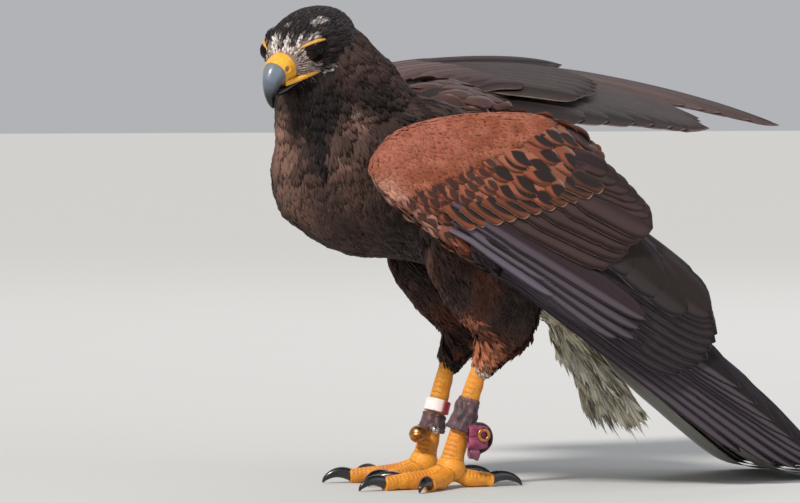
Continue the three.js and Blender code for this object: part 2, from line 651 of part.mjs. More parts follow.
/** One leg: feathered thigh, bare tarsus, foot and claws. */
function addLeg(side, label, torsoRoom) {
  const shinRoom = joined([thigh(side, GAP), footSolid(side, GAP)]);
  addPart(`thigh_${label}`, thigh(side).subtract(torsoRoom), "plumage");
  addPart(`tarsus_${label}`, tarsus(side).subtract(shinRoom), "scales");
  addPart(`foot_${label}`, footSolid(side), "scales");
  for (const [name, toe] of Object.entries(TOES)) {
    addPart(`claw_${label}_${name}`, clawSolid(toe, side).subtract(toeSolid(toe, side, GAP)), "claw");
  }
}

/** The point of the tarsus's middle line at a height, and the way the line runs there, upwards. */
function onTarsus(side, height) {
  const path = new THREE.CatmullRomCurve3(stationsOn(TARSUS, side).map((s) => s.at));
  let low = 0;
  let high = 1;
  for (let i = 0; i < 24; i++) {
    const middle = (low + high) / 2;
    if (path.getPoint(middle).z > height) low = middle;
    else high = middle;
  }
  return { at: path.getPoint(low), up: path.getTangent(low).negate() };
}

/** The outside of a band round the tarsus. */
function band(side, { height, tall, top, bottom }, grow = 0) {
  const { at: centre, up } = onTarsus(side, height);
  const low = centre.clone().addScaledVector(up, -tall / 2 - grow);
  const high = centre.clone().addScaledVector(up, tall / 2 + grow);
  return bar(low, high, bottom + grow, top + grow, 14);
}

/** Ring, cuffs, bell, knot and eyelet. */
function addFurniture() {
  const shins = { right: tarsus(1, LEG_ROOM), left: tarsus(-1, LEG_ROOM) };
  addPart("leg_ring", band(1, RING).subtract(shins.right), "band");
  addPart("cuff_right", band(1, CUFF_RIGHT).subtract(shins.right), "leather");
  addPart("cuff_left", band(-1, CUFF_LEFT).subtract(shins.left), "leather");

  const bell = ball(BELL.at, at(1, 1, 1).multiplyScalar(BELL.radius), 14);
  const slot = new THREE.BoxGeometry(BELL.radius * 3, BELL.slot, BELL.radius);
  slot.translate(BELL.at.x, BELL.at.y, BELL.at.z - BELL.radius);
  addPart("bell", bell.subtract(solidOf(slot)), "brass");

  const small = ball(SMALL_BELL.at, at(1, 1, 1).multiplyScalar(SMALL_BELL.radius), 12);
  addPart("bell_small", small, "nickel");

  const bellRoom = ball(BELL.at, at(1, 1, 1).multiplyScalar(BELL.radius + GAP), 14);
  const smallRoom = ball(SMALL_BELL.at, at(1, 1, 1).multiplyScalar(SMALL_BELL.radius + GAP), 12);
  const strap = bar(BELL_STRAP.start, BELL.at, BELL_STRAP.half, BELL_STRAP.half, 8);
  const strapRoom = joined([bellRoom, smallRoom, band(1, CUFF_RIGHT, GAP), shins.right]);
  addPart("bell_strap", strap.subtract(strapRoom), "leather");

  const cuffRoom = band(-1, CUFF_LEFT, GAP);
  const knotRoom = joined([cuffRoom, shins.left]);
  addPart("cuff_knot", roundedBlock(KNOT, KNOT.at).subtract(knotRoom), "leather");
  const face = KNOT.at.clone().add(at(0, -KNOT.deep / 2 - KNOT.corner / 3 - GAP, 2));
  const outer = face.clone().add(at(0, -EYELET.thick, 0));
  const disc = bar(face, outer, EYELET.radius, EYELET.radius * 0.8, 18);
  const hole = bar(face.clone().add(at(0, 1, 0)), outer.clone().add(at(0, -1, 0)), EYELET.hole, EYELET.hole, 12);
  addPart("eyelet", disc.subtract(hole).subtract(knotRoom), "brass");
}

// Wings and tail

/** Turns places on a wing's sheet, and heights over it, into points. */
function sheetOf({ upright, base, first, second, arch }) {
  const normal = (upright ? at(first, -1, second) : at(-first, -second, 1)).normalize();
  const place = (a, b, height = 0) => {
    const level = base + first * a + second * b;
    const half = a < arch.middle ? arch.front : arch.back;
    const raised = height + arch.high * (1 - ((a - arch.middle) / half) ** 2);
    return (upright ? at(a, level, b) : at(a, b, level)).addScaledVector(normal, raised);
  };
  return { place, normal };
}

/** A point at share t of a smooth curve through places on a sheet. */
function along(places, t) {
  const point = new THREE.CatmullRomCurve3(places.map(([a, b]) => at(a, b, 0))).getPoint(t);
  return [point.x, point.y];
}

/** All the vanes of one row of a wing, each a little different in length and width. */
function wingRow(wing, place, row, draw) {
  return Array.from({ length: row.count }, (_, i) => {
    const t = i / (row.count - 1);
    const share = THREE.MathUtils.lerp(...row.span, t);
    const root = along(row.roots, t);
    const tip = along(row.tips, t);
    const longer = 1 + 0.012 * draw();
    return vane(place, {
      ...row,
      root,
      tip: [root[0] + (tip[0] - root[0]) * longer, root[1] + (tip[1] - root[1]) * longer],
      height: row.lift + wing.rise * (share - 0.5),
      width: row.width * (1 + 0.03 * draw()),
      leading: wing.outward,
      rest: FEATHER_REST + wing.rise * share,
    });
  });
}

/** The fleshy arm of a wing with every row of its feathers, as one closed body. */
function wingSolid(wing) {
  const draw = drawer(wing.seed);
  const { place, normal } = sheetOf(wing.sheet);
  const onSheet = (stations) => stations.map((s) => ({ ...s, at: place(...s.spot, s.over) }));
  const fleshOf = (stations, sides, steps) => {
    const placed = onSheet(stations);
    const run = placed[placed.length - 1].at.clone().sub(placed[0].at);
    return sweep(placed, { sides, steps, across: normal.clone().cross(run).normalize() });
  };
  const flesh = [
    fleshOf(wing.arm, 12, 7),
    fleshOf(wing.hand, 8, 4),
    sweep(wing.humerus, { sides: 10, steps: 4, across: at(0, 0, 1) }),
  ];
  return joined([...flesh, ...wing.rows.flatMap((row) => wingRow(wing, place, row, draw))]);
}

/** A fan of vanes about the middle plane of the tail. "step" raises each over, or sinks it under, its inner neighbour. */
function tailRow({ count, from, length, slope, spread, fan, width, step, lift = 0, point }, draw) {
  const down = radians(slope);
  const normal = at(Math.sin(down), 0, Math.cos(down));
  const place = (a, b, height) =>
    at(from + a * Math.cos(down), b, TAIL.root.z + (TAIL.root.x - from) - a * Math.sin(down)).addScaledVector(normal, height);
  return Array.from({ length: count }, (_, i) => {
    const share = (2 * i) / (count - 1) - 1;
    // The middle is a little off, so that no two feathers lie at one height.
    const rank = Math.abs(i - (count - 1) / 2 + TAIL.offMiddle);
    const heading = radians(fan) * share;
    const reach = length * (1 - 0.05 * Math.abs(share) + 0.01 * draw());
    const root = [0, (share * spread) / 2];
    return vane(place, {
      root,
      tip: [reach * Math.cos(heading), root[1] + reach * Math.sin(heading)],
      height: lift + rank * step,
      width: width * (1 + 0.03 * draw()),
      lead: 0.5 - 0.12 * Math.abs(share),
      tilt: 0,
      point,
      leading: Math.sign(share) || 1,
      rest: FEATHER_REST + (count / 2 - rank) * TAIL.layer,
      stations: length > 150 ? TAIL_STATIONS : VANE_STATIONS,
    });
  });
}

/** The tail's fleshy root with its quills and its upper and under coverts. */
function tailSolid() {
  const draw = drawer(5);
  return joined([sweep(TAIL.base, { sides: 14, steps: 4 }), ...TAIL.rows.flatMap((row) => tailRow(row, draw))]);
}

const headRoom = addHead();
addTrunk(headRoom);
const torsoRoom = trunk(GAP);
const feathersClear = joined([torsoRoom, thigh(-1, GAP), thigh(1, GAP)]);
addPart("wing_left", wingSolid(LEFT_WING).subtract(feathersClear), "flight");
addPart("wing_right", wingSolid(RIGHT_WING).subtract(feathersClear), "flight");
addPart("tail", tailSolid().subtract(feathersClear), "flight");
addLeg(-1, "left", torsoRoom);
addLeg(1, "right", torsoRoom);
addFurniture();

// The origin is the middle of the underside of the whole bird's box.
bird.updateMatrixWorld(true);
const box = new THREE.Box3().setFromObject(bird, true);
bird.position.set(-(box.min.x + box.max.x) / 2, -(box.min.y + box.max.y) / 2, -box.min.z);

export default bird;
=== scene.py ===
"""A Harris's hawk, life size and still, dressed with feathers, scales, horn and leather.

The bird stands with both wings part open and its head turned to its left. Flesh is one skin that is swept through
named stations, and small feathers are scattered over it along the lie of the coat. Wings and tail carry their long
feathers row by row. Design places are in millimetres, with the bird facing -X, its left side -Y and its floor at
z = 0 midway between the feet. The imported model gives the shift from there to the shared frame.
"""

from __future__ import annotations

import logging
import math
from dataclasses import dataclass, field, replace
from enum import Enum
from typing import Callable, Sequence

import bpy
import numpy as np
from mathutils import Matrix, Vector, noise
from mathutils.bvhtree import BVHTree
from mathutils.kdtree import KDTree

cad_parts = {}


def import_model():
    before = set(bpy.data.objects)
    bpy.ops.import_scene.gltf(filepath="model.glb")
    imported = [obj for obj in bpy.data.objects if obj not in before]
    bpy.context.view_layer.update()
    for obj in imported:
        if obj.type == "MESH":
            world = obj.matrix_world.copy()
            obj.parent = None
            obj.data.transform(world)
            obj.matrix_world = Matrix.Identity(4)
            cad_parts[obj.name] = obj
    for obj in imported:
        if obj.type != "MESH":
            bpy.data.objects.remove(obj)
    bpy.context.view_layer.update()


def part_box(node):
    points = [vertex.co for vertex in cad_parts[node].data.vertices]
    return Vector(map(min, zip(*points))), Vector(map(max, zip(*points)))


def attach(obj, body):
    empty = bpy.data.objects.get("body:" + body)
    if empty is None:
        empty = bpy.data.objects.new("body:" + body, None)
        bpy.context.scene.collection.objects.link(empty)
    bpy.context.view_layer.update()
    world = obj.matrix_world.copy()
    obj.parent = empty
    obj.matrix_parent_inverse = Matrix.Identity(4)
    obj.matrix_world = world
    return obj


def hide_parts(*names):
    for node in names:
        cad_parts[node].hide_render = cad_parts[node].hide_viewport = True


LOG = logging.getLogger("hawk")
MM = 0.001
BODY = "root"
BAKE_MAP = "OFBake"
VANE_MAP = "vane"
BAKE_PATCH = 0.003

Array = np.ndarray
Colour = tuple[float, float, float]


def shade(code: str) -> Colour:
    """A colour written as six hexadecimal digits, in linear light."""
    parts = [int(code[i : i + 2], 16) / 255 for i in (0, 2, 4)]
    return tuple(p / 12.92 if p <= 0.04045 else ((p + 0.055) / 1.055) ** 2.4 for p in parts)


def unit(vectors: Array) -> Array:
    """Vectors along the last axis, each made one long."""
    return vectors / np.maximum(np.linalg.norm(vectors, axis=-1, keepdims=True), 1e-9)


def ease(low: float, high: float, values: Array) -> Array:
    """A smooth step from 0 at low to 1 at high."""
    t = np.clip((values - low) / (high - low), 0, 1)
    return t * t * (3 - 2 * t)


# Shaders


class Value:
    """A socket of a node tree, on which Python's operators add Math nodes."""

    def __init__(self, graph: Graph, socket: bpy.types.NodeSocket) -> None:
        """Wraps a socket of a graph."""
        self.graph = graph
        self.socket = socket

    def _with(self, operation: str, first: object, second: object = 0.0) -> Value:
        """A Math node on two values."""
        node = self.graph.node("ShaderNodeMath", {"operation": operation}, {0: first, 1: second})
        return Value(self.graph, node.outputs[0])

    def __add__(self, other: object) -> Value:
        """Sum."""
        return self._with("ADD", self, other)

    def __sub__(self, other: object) -> Value:
        """Difference."""
        return self._with("SUBTRACT", self, other)

    def __mul__(self, other: object) -> Value:
        """Product."""
        return self._with("MULTIPLY", self, other)

    def __truediv__(self, other: object) -> Value:
        """Quotient."""
        return self._with("DIVIDE", self, other)

    def __pow__(self, other: object) -> Value:
        """Power."""
        return self._with("POWER", self, other)

    def __radd__(self, other: object) -> Value:
        """Sum, from the right."""
        return self._with("ADD", other, self)

    def __rsub__(self, other: object) -> Value:
        """Difference, from the right."""
        return self._with("SUBTRACT", other, self)

    def __rmul__(self, other: object) -> Value:
        """Product, from the right."""
        return self._with("MULTIPLY", other, self)

    def size(self) -> Value:
        """The value without its sign."""
        return self._with("ABSOLUTE", self)

    def wave(self) -> Value:
        """The sine of the value."""
        return self._with("SINE", self)

    def most(self, other: object) -> Value:
        """The larger of two values."""
        return self._with("MAXIMUM", self, other)

    def least(self, other: object) -> Value:
        """The smaller of two values."""
        return self._with("MINIMUM", self, other)

    def step(self, low: float, high: float) -> Value:
        """A smooth step from 0 at low to 1 at high, or from 1 to 0 where low is above high."""
        rising = low < high
        ends = {1: low, 2: high, 3: 0.0, 4: 1.0} if rising else {1: high, 2: low, 3: 1.0, 4: 0.0}
        settings = {"interpolation_type": "SMOOTHSTEP"}
        node = self.graph.node("ShaderNodeMapRange", settings, {0: self, **ends})
        return Value(self.graph, node.outputs[0])


class Graph:
    """The node tree of one material."""

    def __init__(self, name: str) -> None:
        """Makes an empty material of that name."""
        self.material = bpy.data.materials.new(name)
        self.material.use_nodes = True
        self.tree = self.material.node_tree
        self.tree.nodes.clear()

    def node(self, kind: str, settings: dict | None = None, inputs: dict | None = None) -> bpy.types.Node:
        """Adds a node.

        Args:
            kind: The node's type.
            settings: Its own settings, or "stops" for a ramp.
            inputs: A value or a link for each of its sockets, by name or number.

        Returns:
            The node.
        """
        made = self.tree.nodes.new(kind)
        for key, value in (settings or {}).items():
            if key == "stops":
                self._stops(made.color_ramp, value)
            else:
                setattr(made, key, value)
        for key, value in (inputs or {}).items():
            socket = made.inputs[key]
            if isinstance(value, Value):
                self.tree.links.new(value.socket, socket)
            elif isinstance(value, tuple) and len(value) == 3 and socket.type == "RGBA":
                socket.default_value = (*value, 1.0)
            else:
                socket.default_value = value
        return made

    def _stops(self, ramp: bpy.types.ColorRamp, stops: Sequence[tuple[float, Colour]]) -> None:
        """Sets a ramp's stops."""
        while len(ramp.elements) < len(stops):
            ramp.elements.new(1.0)
        for element, (place, colour) in zip(ramp.elements, stops):
            element.position = place
            element.color = (*colour, 1.0)

    def out(self, node: bpy.types.Node, name: str | int = 0) -> Value:
        """A node's output as a value."""
        return Value(self, node.outputs[name])

    def attribute(self, name: str, output: str = "Color") -> Value:
        """One of the mesh's own attributes."""
        return self.out(self.node("ShaderNodeAttribute", {"attribute_name": name}), output)

    def parts(self, colour: Value) -> tuple[Value, Value, Value]:
        """The three channels of a colour."""
        node = self.node("ShaderNodeSeparateColor", None, {0: colour})
        return self.out(node, 0), self.out(node, 1), self.out(node, 2)

    def place(self) -> Value:
        """The point of the surface, in the shared frame."""
        return self.out(self.node("ShaderNodeTexCoord"), "Object")

    def stretched(self, vector: Value, scale: tuple[float, float, float]) -> Value:
        """A vector with each axis scaled."""
        return self.out(self.node("ShaderNodeMapping", None, {"Vector": vector, "Scale": scale}))

    def noise(self, scale: float, detail: float = 3.0, rough: float = 0.55, vector: Value | None = None) -> Value:
        """Soft noise, from 0 to 1."""
        at = vector or self.place()
        inputs = {"Vector": at, "Scale": scale, "Detail": detail, "Roughness": rough}
        return self.out(self.node("ShaderNodeTexNoise", None, inputs), 0)

    def cells(self, scale: float, vector: Value | None = None, feature: str = "DISTANCE_TO_EDGE") -> Value:
        """Distance in a pattern of cells."""
        inputs = {"Vector": vector or self.place(), "Scale": scale}
        return self.out(self.node("ShaderNodeTexVoronoi", {"feature": feature}, inputs), "Distance")

    def mix(self, factor: object, first: object, second: object, blend: str = "MIX") -> Value:
        """One colour over another."""
        settings = {"data_type": "RGBA", "blend_type": blend, "clamp_factor": True}
        node = self.node("ShaderNodeMix", settings, {0: factor, 6: first, 7: second})
        return self.out(node, 2)

    def bump(self, height: Value, strength: float, distance: float) -> Value:
        """A bumped normal."""
        inputs = {"Strength": strength, "Distance": distance, "Height": height}
        return self.out(self.node("ShaderNodeBump", None, inputs))

    def surface(self, **values: object) -> bpy.types.Material:
        """Ends the material in one Principled shader, with underscores for the spaces of socket names."""
        inputs = {key.replace("_", " "): value for key, value in values.items()}
        shader = self.node("ShaderNodeBsdfPrincipled", None, inputs)
        end = self.node("ShaderNodeOutputMaterial")
        self.tree.links.new(shader.outputs[0], end.inputs[0])
        return self.material


@dataclass(frozen=True)
class PlumeFinish:
    """Finish of feathers: colour from the mesh, with web, shaft, fringe and dark mark laid over it, and painted sheen
    along the outer web.
    """

    name: str
    fringe: Colour
    mark: Colour
    barbs: float = 90.0
    slant: float = 26.0
    web: float = 0.25
    rough: float = 0.62
    sheen: float = 0.25
    relief: float = 0.25
    depth: float = 0.0004
    tip_from: float = 0.7
    edge: float = 0.8
    bloom: float = 0.2
    gloss: float = 0.25
    mottle: float = 0.3
    # How much fringe colour is laid along the outer web as painted sheen.
    outer: float = 0.0

    def make(self) -> bpy.types.Material:
        """Builds the material."""
        graph = Graph(self.name)
        tint = graph.attribute("tint")
        marked, fringed, luck = graph.parts(graph.attribute("pattern"))
        uv = graph.out(graph.node("ShaderNodeUVMap", {"uv_map": VANE_MAP}))
        apart = graph.node("ShaderNodeSeparateXYZ", None, {0: uv})
        side, along = graph.out(apart, 0), graph.out(apart, 1)
        across = (side - 0.5).size() * 2.0
        tip = (along - self.tip_from).most(0.0) / (1.0 - self.tip_from)
        rim = (across * across + tip * tip) ** 0.5
        barb = (along * self.barbs - across * self.slant + luck * 40.0).wave()
        streak = graph.noise(1.0, 2.0, 0.6, graph.stretched(uv, (9.0, 2.2, 1.0)))
        cloud = graph.noise(260.0, 3.0)
        fleck = (barb * 0.5 + 0.5) * self.web * streak
        lit = 0.9 - self.mottle / 2 + luck * self.mottle + (cloud - 0.5) * 0.3
        plain = graph.mix(1.0, tint, self._grey(graph, lit), "MULTIPLY")
        # Painted sheen: the fringe colour laid along the outer web, by outer, stands in for light on glossy quills.
        sheen_strip = side.step(0.02, 0.16) * side.step(0.5, 0.28)
        webbed = graph.mix(fleck.most(sheen_strip * self.outer), plain, self.fringe)
        oval = across / 0.66 + ((along - 0.68) / 0.31) ** 2.0
        spot = (oval + (streak - 0.5) * 0.3).step(1.12, 0.78) * marked
        spotted = graph.mix(spot, webbed, self.mark)
        soft = rim.step(self.edge - 0.45, 1.0) * self.bloom
        line = (rim + (streak - 0.5) * 0.12).step(self.edge, min(self.edge + 0.1, 0.99))
        patchy = graph.noise(1.0, 2.0, 0.5, graph.stretched(uv, (2.0, 5.0, 1.0))).step(0.3, 0.6)
        edged = graph.mix((soft + line * (0.35 + patchy * 0.65)) * fringed, spotted, self.fringe)
        shaft = across.step(0.07, 0.02)
        colour = graph.mix(shaft * 0.35, edged, graph.mix(0.5, edged, (0.02, 0.015, 0.013)))
        height = barb * 0.35 + shaft * 0.9 + cloud * 0.8
        return graph.surface(
            Base_Color=colour,
            Roughness=self.rough + streak * 0.16 - 0.08,
            Sheen_Weight=self.sheen,
            Sheen_Roughness=0.45,
            Specular_IOR_Level=self.gloss,
            Normal=graph.bump(height, self.relief, self.depth),
        )

    def _grey(self, graph: Graph, value: Value) -> Value:
        """A value as a grey colour."""
        return graph.out(graph.node("ShaderNodeCombineColor", None, {0: value, 1: value, 2: value}))


@dataclass(frozen=True)
class SkinFinish:
    """Finish of the skin under the coat."""

    name: str = "skin"

    def make(self) -> bpy.types.Material:
        """Builds the material."""
        graph = Graph(self.name)
        fuzz = graph.noise(900.0, 4.0, 0.7)
        broad = graph.noise(90.0, 2.0)
        tint = graph.attribute("tint")
        dark = graph.mix(0.2 + broad * 0.3, tint, (0.012, 0.009, 0.008))
        return graph.surface(
            Base_Color=dark,
            Roughness=0.8 + fuzz * 0.15,
            Specular_IOR_Level=0.2,
            Normal=graph.bump(fuzz, 0.5, 0.0006),
        )


@dataclass(frozen=True)
class ScaleFinish:
    """Finish of bare horny skin: scutes, small net-like scales, and places deepened by the fold attribute, which holds
    painted shade in the leg's hollows and the nostrils and bands on the lids.
    """

    name: str
    light: Colour
    deep: Colour
    cell: float = 900.0
    rough: float = 0.42
    relief: float = 0.5
    gloss: float = 0.5

    def make(self) -> bpy.types.Material:
        """Builds the material."""
        graph = Graph(self.name)
        at = graph.place()
        net = graph.cells(self.cell)
        groove = net.step(0.0, 0.16)
        broad = graph.noise(70.0, 3.0)
        fine = graph.noise(1500.0, 3.0, 0.6)
        worn = graph.noise(240.0, 4.0, 0.6, at)
        fold = graph.attribute("fold", "Fac")
        body = graph.mix(broad.step(0.35, 0.7) * 0.55, self.light, self.deep)
        netted = graph.mix((1.0 - groove) * 0.5, body, self.deep)
        # Painted shade: fold deepens the colour in the leg's hollows and in the nostrils.
        folded = graph.mix(fold * 0.75, netted, tuple(c * 0.45 for c in self.deep))
        dusty = graph.mix(worn.step(0.6, 0.78) * 0.3, folded, (0.78, 0.62, 0.36))
        height = groove * 0.8 + fine * 0.25 + worn * 0.3
        return graph.surface(
            Base_Color=dusty,
            Roughness=self.rough + fine * 0.2 - 0.1,
            Specular_IOR_Level=self.gloss,
            Subsurface_Weight=0.08,
            Subsurface_Radius=(0.004, 0.002, 0.001),
            Normal=graph.bump(height, self.relief, 0.0003),
        )


@dataclass(frozen=True)
class HornFinish:
    """Finish of bill and claws: growth streaks along it and a dark tip."""

    name: str
    light: Colour
    dark: Colour
    rough: float = 0.22
    coat: float = 0.35

    def make(self) -> bpy.types.Material:
        """Builds the material."""
        graph = Graph(self.name)
        reach = graph.attribute("reach", "Fac")
        streak = graph.noise(1.0, 4.0, 0.6, graph.stretched(graph.place(), (500.0, 500.0, 90.0)))
        cloud = graph.noise(160.0, 3.0)
        base = graph.mix(streak.step(0.3, 0.75) * 0.45, self.light, tuple(c * 0.55 + 0.03 for c in self.light))
        tipped = graph.mix((reach + (cloud - 0.5) * 0.25).step(0.25, 0.72), base, self.dark)
        return graph.surface(
            Base_Color=tipped,
            Roughness=self.rough + streak * 0.22,
            Coat_Weight=self.coat,
            Coat_Roughness=0.15,
            Normal=graph.bump(streak * 0.6 + cloud * 0.4, 0.18, 0.0004),
        )


@dataclass(frozen=True)
class EyeFinish:
    """Finish of an eye: pupil, iris and wet gloss, by the share of the way from its middle."""

    name: str = "eye"

    def make(self) -> bpy.types.Material:
        """Builds the material."""
        graph = Graph(self.name)
        disc = graph.attribute("reach", "Fac")
        rays = graph.noise(900.0, 3.0, 0.7)
        ramp = {"stops": [(0.0, (0.002, 0.002, 0.002)), (0.42, (0.003, 0.002, 0.002)),
                          (0.5, (0.012, 0.006, 0.003)), (0.85, (0.018, 0.008, 0.004)), (1.0, (0.006, 0.004, 0.003))]}
        iris = graph.out(graph.node("ShaderNodeValToRGB", ramp, {0: disc}))
        rayed = graph.mix(rays.step(0.45, 0.7) * 0.4, iris, (0.02, 0.009, 0.005))
        return graph.surface(
            Base_Color=rayed,
            Roughness=0.05 + rays * 0.03,
            Specular_IOR_Level=0.14,
            Normal=graph.bump(rays, 0.02, 0.0002),
        )


@dataclass(frozen=True)
class LeatherFinish:
    """Finish of worn leather: pores, creases, and paler rubbed places."""

    name: str
    light: Colour
    deep: Colour

    def make(self) -> bpy.types.Material:
        """Builds the material."""
        graph = Graph(self.name)
        pores = graph.cells(1500.0, None, "F1")
        crease = graph.cells(420.0).step(0.0, 0.12)
        broad = graph.noise(130.0, 4.0, 0.6)
        fine = graph.noise(2200.0, 3.0)
        rubbed = graph.attribute("fold", "Fac")
        body = graph.mix(broad.step(0.3, 0.7), self.deep, self.light)
        creased = graph.mix((1.0 - crease) * 0.45, body, tuple(c * 0.4 for c in self.deep))
        worn = graph.mix(rubbed * 0.6, creased, tuple(min(1.0, c * 1.7 + 0.05) for c in self.light))
        height = pores * 0.7 + crease * 0.6 + fine * 0.3
        return graph.surface(
            Base_Color=worn,
            Roughness=0.5 + broad * 0.25 - 0.1,
            Sheen_Weight=0.1,
            Normal=graph.bump(height, 0.35, 0.0003),
        )


@dataclass(frozen=True)
class MetalFinish:
    """Finish of a small bell or eyelet: tarnish in patches and fine scratches."""

    name: str
    bright: Colour
    tarnish: Colour
    rough: float = 0.24

    def make(self) -> bpy.types.Material:
        """Builds the material."""
        graph = Graph(self.name)
        patch = graph.noise(320.0, 4.0, 0.65)
        scratch = graph.noise(1.0, 3.0, 0.6, graph.stretched(graph.place(), (900.0, 2600.0, 700.0)))
        colour = graph.mix(patch.step(0.42, 0.68) * 0.7, self.bright, self.tarnish)
        return graph.surface(
            Base_Color=colour,
            Metallic=1.0 - patch.step(0.6, 0.8) * 0.35,
            Roughness=self.rough + patch * 0.25 + scratch * 0.1 - 0.1,
            Normal=graph.bump(scratch * 0.5 + patch * 0.5, 0.12, 0.0002),
        )


@dataclass(frozen=True)
class RingFinish:
    """Finish of the leg ring: pale smooth plastic with one red stretch."""

    name: str
    pale: Colour
    red: Colour

    def make(self) -> bpy.types.Material:
        """Builds the material."""
        graph = Graph(self.name)
        stretch = graph.attribute("reach", "Fac")
        dirt = graph.noise(500.0, 4.0, 0.65)
        body = graph.mix(stretch.step(0.45, 0.55), self.pale, self.red)
        grimy = graph.mix(dirt.step(0.55, 0.8) * 0.35, body, (0.2, 0.14, 0.1))
        return graph.surface(
            Base_Color=grimy,
            Roughness=0.34 + dirt * 0.2 - 0.08,
            Normal=graph.bump(dirt, 0.08, 0.0002),
        )


@dataclass(frozen=True)
class FloorFinish:
    """Finish of the plain pale floor."""

    name: str = "floor"

    def make(self) -> bpy.types.Material:
        """Builds the material."""
        graph = Graph(self.name)
        soft = graph.noise(6.0, 3.0)
        grain = graph.noise(180.0, 2.0)
        colour = graph.mix(soft * 0.3, (0.56, 0.56, 0.55), (0.52, 0.52, 0.51))
        return graph.surface(Base_Color=colour, Roughness=0.75 + grain * 0.1, Specular_IOR_Level=0.25)


# Meshes


def mesh_of(name: str, points: Array, groups: Sequence[Array]) -> bpy.types.Object:
    """Makes an object from points in the shared frame and groups of faces of one size each."""
    mesh = bpy.data.meshes.new(name)
    mesh.vertices.add(len(points))
    mesh.vertices.foreach_set("co", np.asarray(points, np.float32).ravel())
    corners = np.concatenate([g.ravel() for g in groups])
    sizes = np.concatenate([np.full(len(g), g.shape[1]) for g in groups])
    mesh.loops.add(len(corners))
    mesh.loops.foreach_set("vertex_index", corners.astype(np.int32))
    mesh.polygons.add(len(sizes))
    starts = np.concatenate([[0], np.cumsum(sizes)[:-1]])
    mesh.polygons.foreach_set("loop_start", starts.astype(np.int32))
    mesh.update(calc_edges=True)
    piece = bpy.data.objects.new(name, mesh)
    bpy.context.scene.collection.objects.link(piece)
    return piece


def points_of(piece: bpy.types.Object) -> Array:
    """All vertices of a mesh object."""
    flat = np.empty(len(piece.data.vertices) * 3, np.float32)
    piece.data.vertices.foreach_get("co", flat)
    return flat.reshape(-1, 3).astype(float)


def move_points(piece: bpy.types.Object, points: Array) -> None:
    """Sets all vertices of a mesh object."""
    piece.data.vertices.foreach_set("co", np.asarray(points, np.float32).ravel())
    piece.data.update()


def colour_points(piece: bpy.types.Object, name: str, colours: Array) -> None:
    """Stores a colour for each vertex."""
    full = np.ones((len(colours), 4), np.float32)
    full[:, :3] = colours
    layer = piece.data.color_attributes.new(name, "FLOAT_COLOR", "POINT")
    layer.data.foreach_set("color", full.ravel())


def value_points(piece: bpy.types.Object, name: str, values: Array) -> None:
    """Stores a number for each vertex."""
    layer = piece.data.attributes.new(name, "FLOAT", "POINT")
    layer.data.foreach_set("value", np.asarray(values, np.float32))


def map_corners(piece: bpy.types.Object, name: str, by_point: Array) -> None:
    """Stores a UV map from a place for each vertex."""
    corners = np.empty(len(piece.data.loops), np.int32)
    piece.data.loops.foreach_get("vertex_index", corners)
    layer = piece.data.uv_layers.new(name=name)
    layer.uv.foreach_set("vector", np.asarray(by_point, np.float32)[corners].ravel())


def choose(*pieces: bpy.types.Object) -> None:
    """Selects only these pieces, the first as the active one."""
    bpy.ops.object.select_all(action="DESELECT")
    for piece in pieces:
        piece.select_set(True)
    bpy.context.view_layer.objects.active = pieces[0]


def smooth(piece: bpy.types.Object, angle: float | None = None) -> None:
    """Shades a piece smooth, or smooth below an angle in degrees."""
    choose(piece)
    if angle is None:
        bpy.ops.object.shade_smooth()
    else:
        bpy.ops.object.shade_smooth_by_angle(angle=math.radians(angle))


def finish_with(piece: bpy.types.Object, kind: str, **settings: object) -> None:
    """Adds a modifier with its settings and applies it."""
    choose(piece)
    bpy.ops.object.modifier_add(type=kind)
    modifier = piece.modifiers[-1]
    for key, value in settings.items():
        setattr(modifier, key, value)
    bpy.ops.object.modifier_apply(modifier=modifier.name)


def join(pieces: Sequence[bpy.types.Object], name: str) -> bpy.types.Object:
    """Joins pieces into the first one."""
    choose(*pieces)
    bpy.ops.object.join()
    pieces[0].name = name
    return pieces[0]


def fuse(piece: bpy.types.Object, voxel: float, passes: int = 4) -> None:
    """Melts overlapping closed forms into one skin and relaxes it."""
    piece.data.remesh_voxel_size = voxel * MM
    choose(piece)
    bpy.ops.object.voxel_remesh()
    if passes:
        finish_with(piece, "SMOOTH", factor=0.5, iterations=passes)
    smooth(piece)


@dataclass(frozen=True)
class Station:
    """A place on a form's middle line, with the half width and the half depth there."""

    at: tuple[float, float, float]
    wide: float
    deep: float


def curve(values: Array, shares: Array) -> Array:
    """Points of a smooth curve through rows of values, at shares of its way from 0 to 1."""
    count = len(values)
    padded = np.vstack([2 * values[0] - values[1], values, 2 * values[-1] - values[-2]])
    t = np.clip(shares, 0, 1) * (count - 1)
    k = np.clip(t.astype(int), 0, count - 2)
    f = (t - k)[:, None]
    a, b, c, d = (padded[k + i] for i in range(4))
    return 0.5 * (2 * b + (c - a) * f + (2 * a - 5 * b + 4 * c - d) * f**2 + (3 * b - a - 3 * c + d) * f**3)


Relief = Callable[[Array, Array], Array]


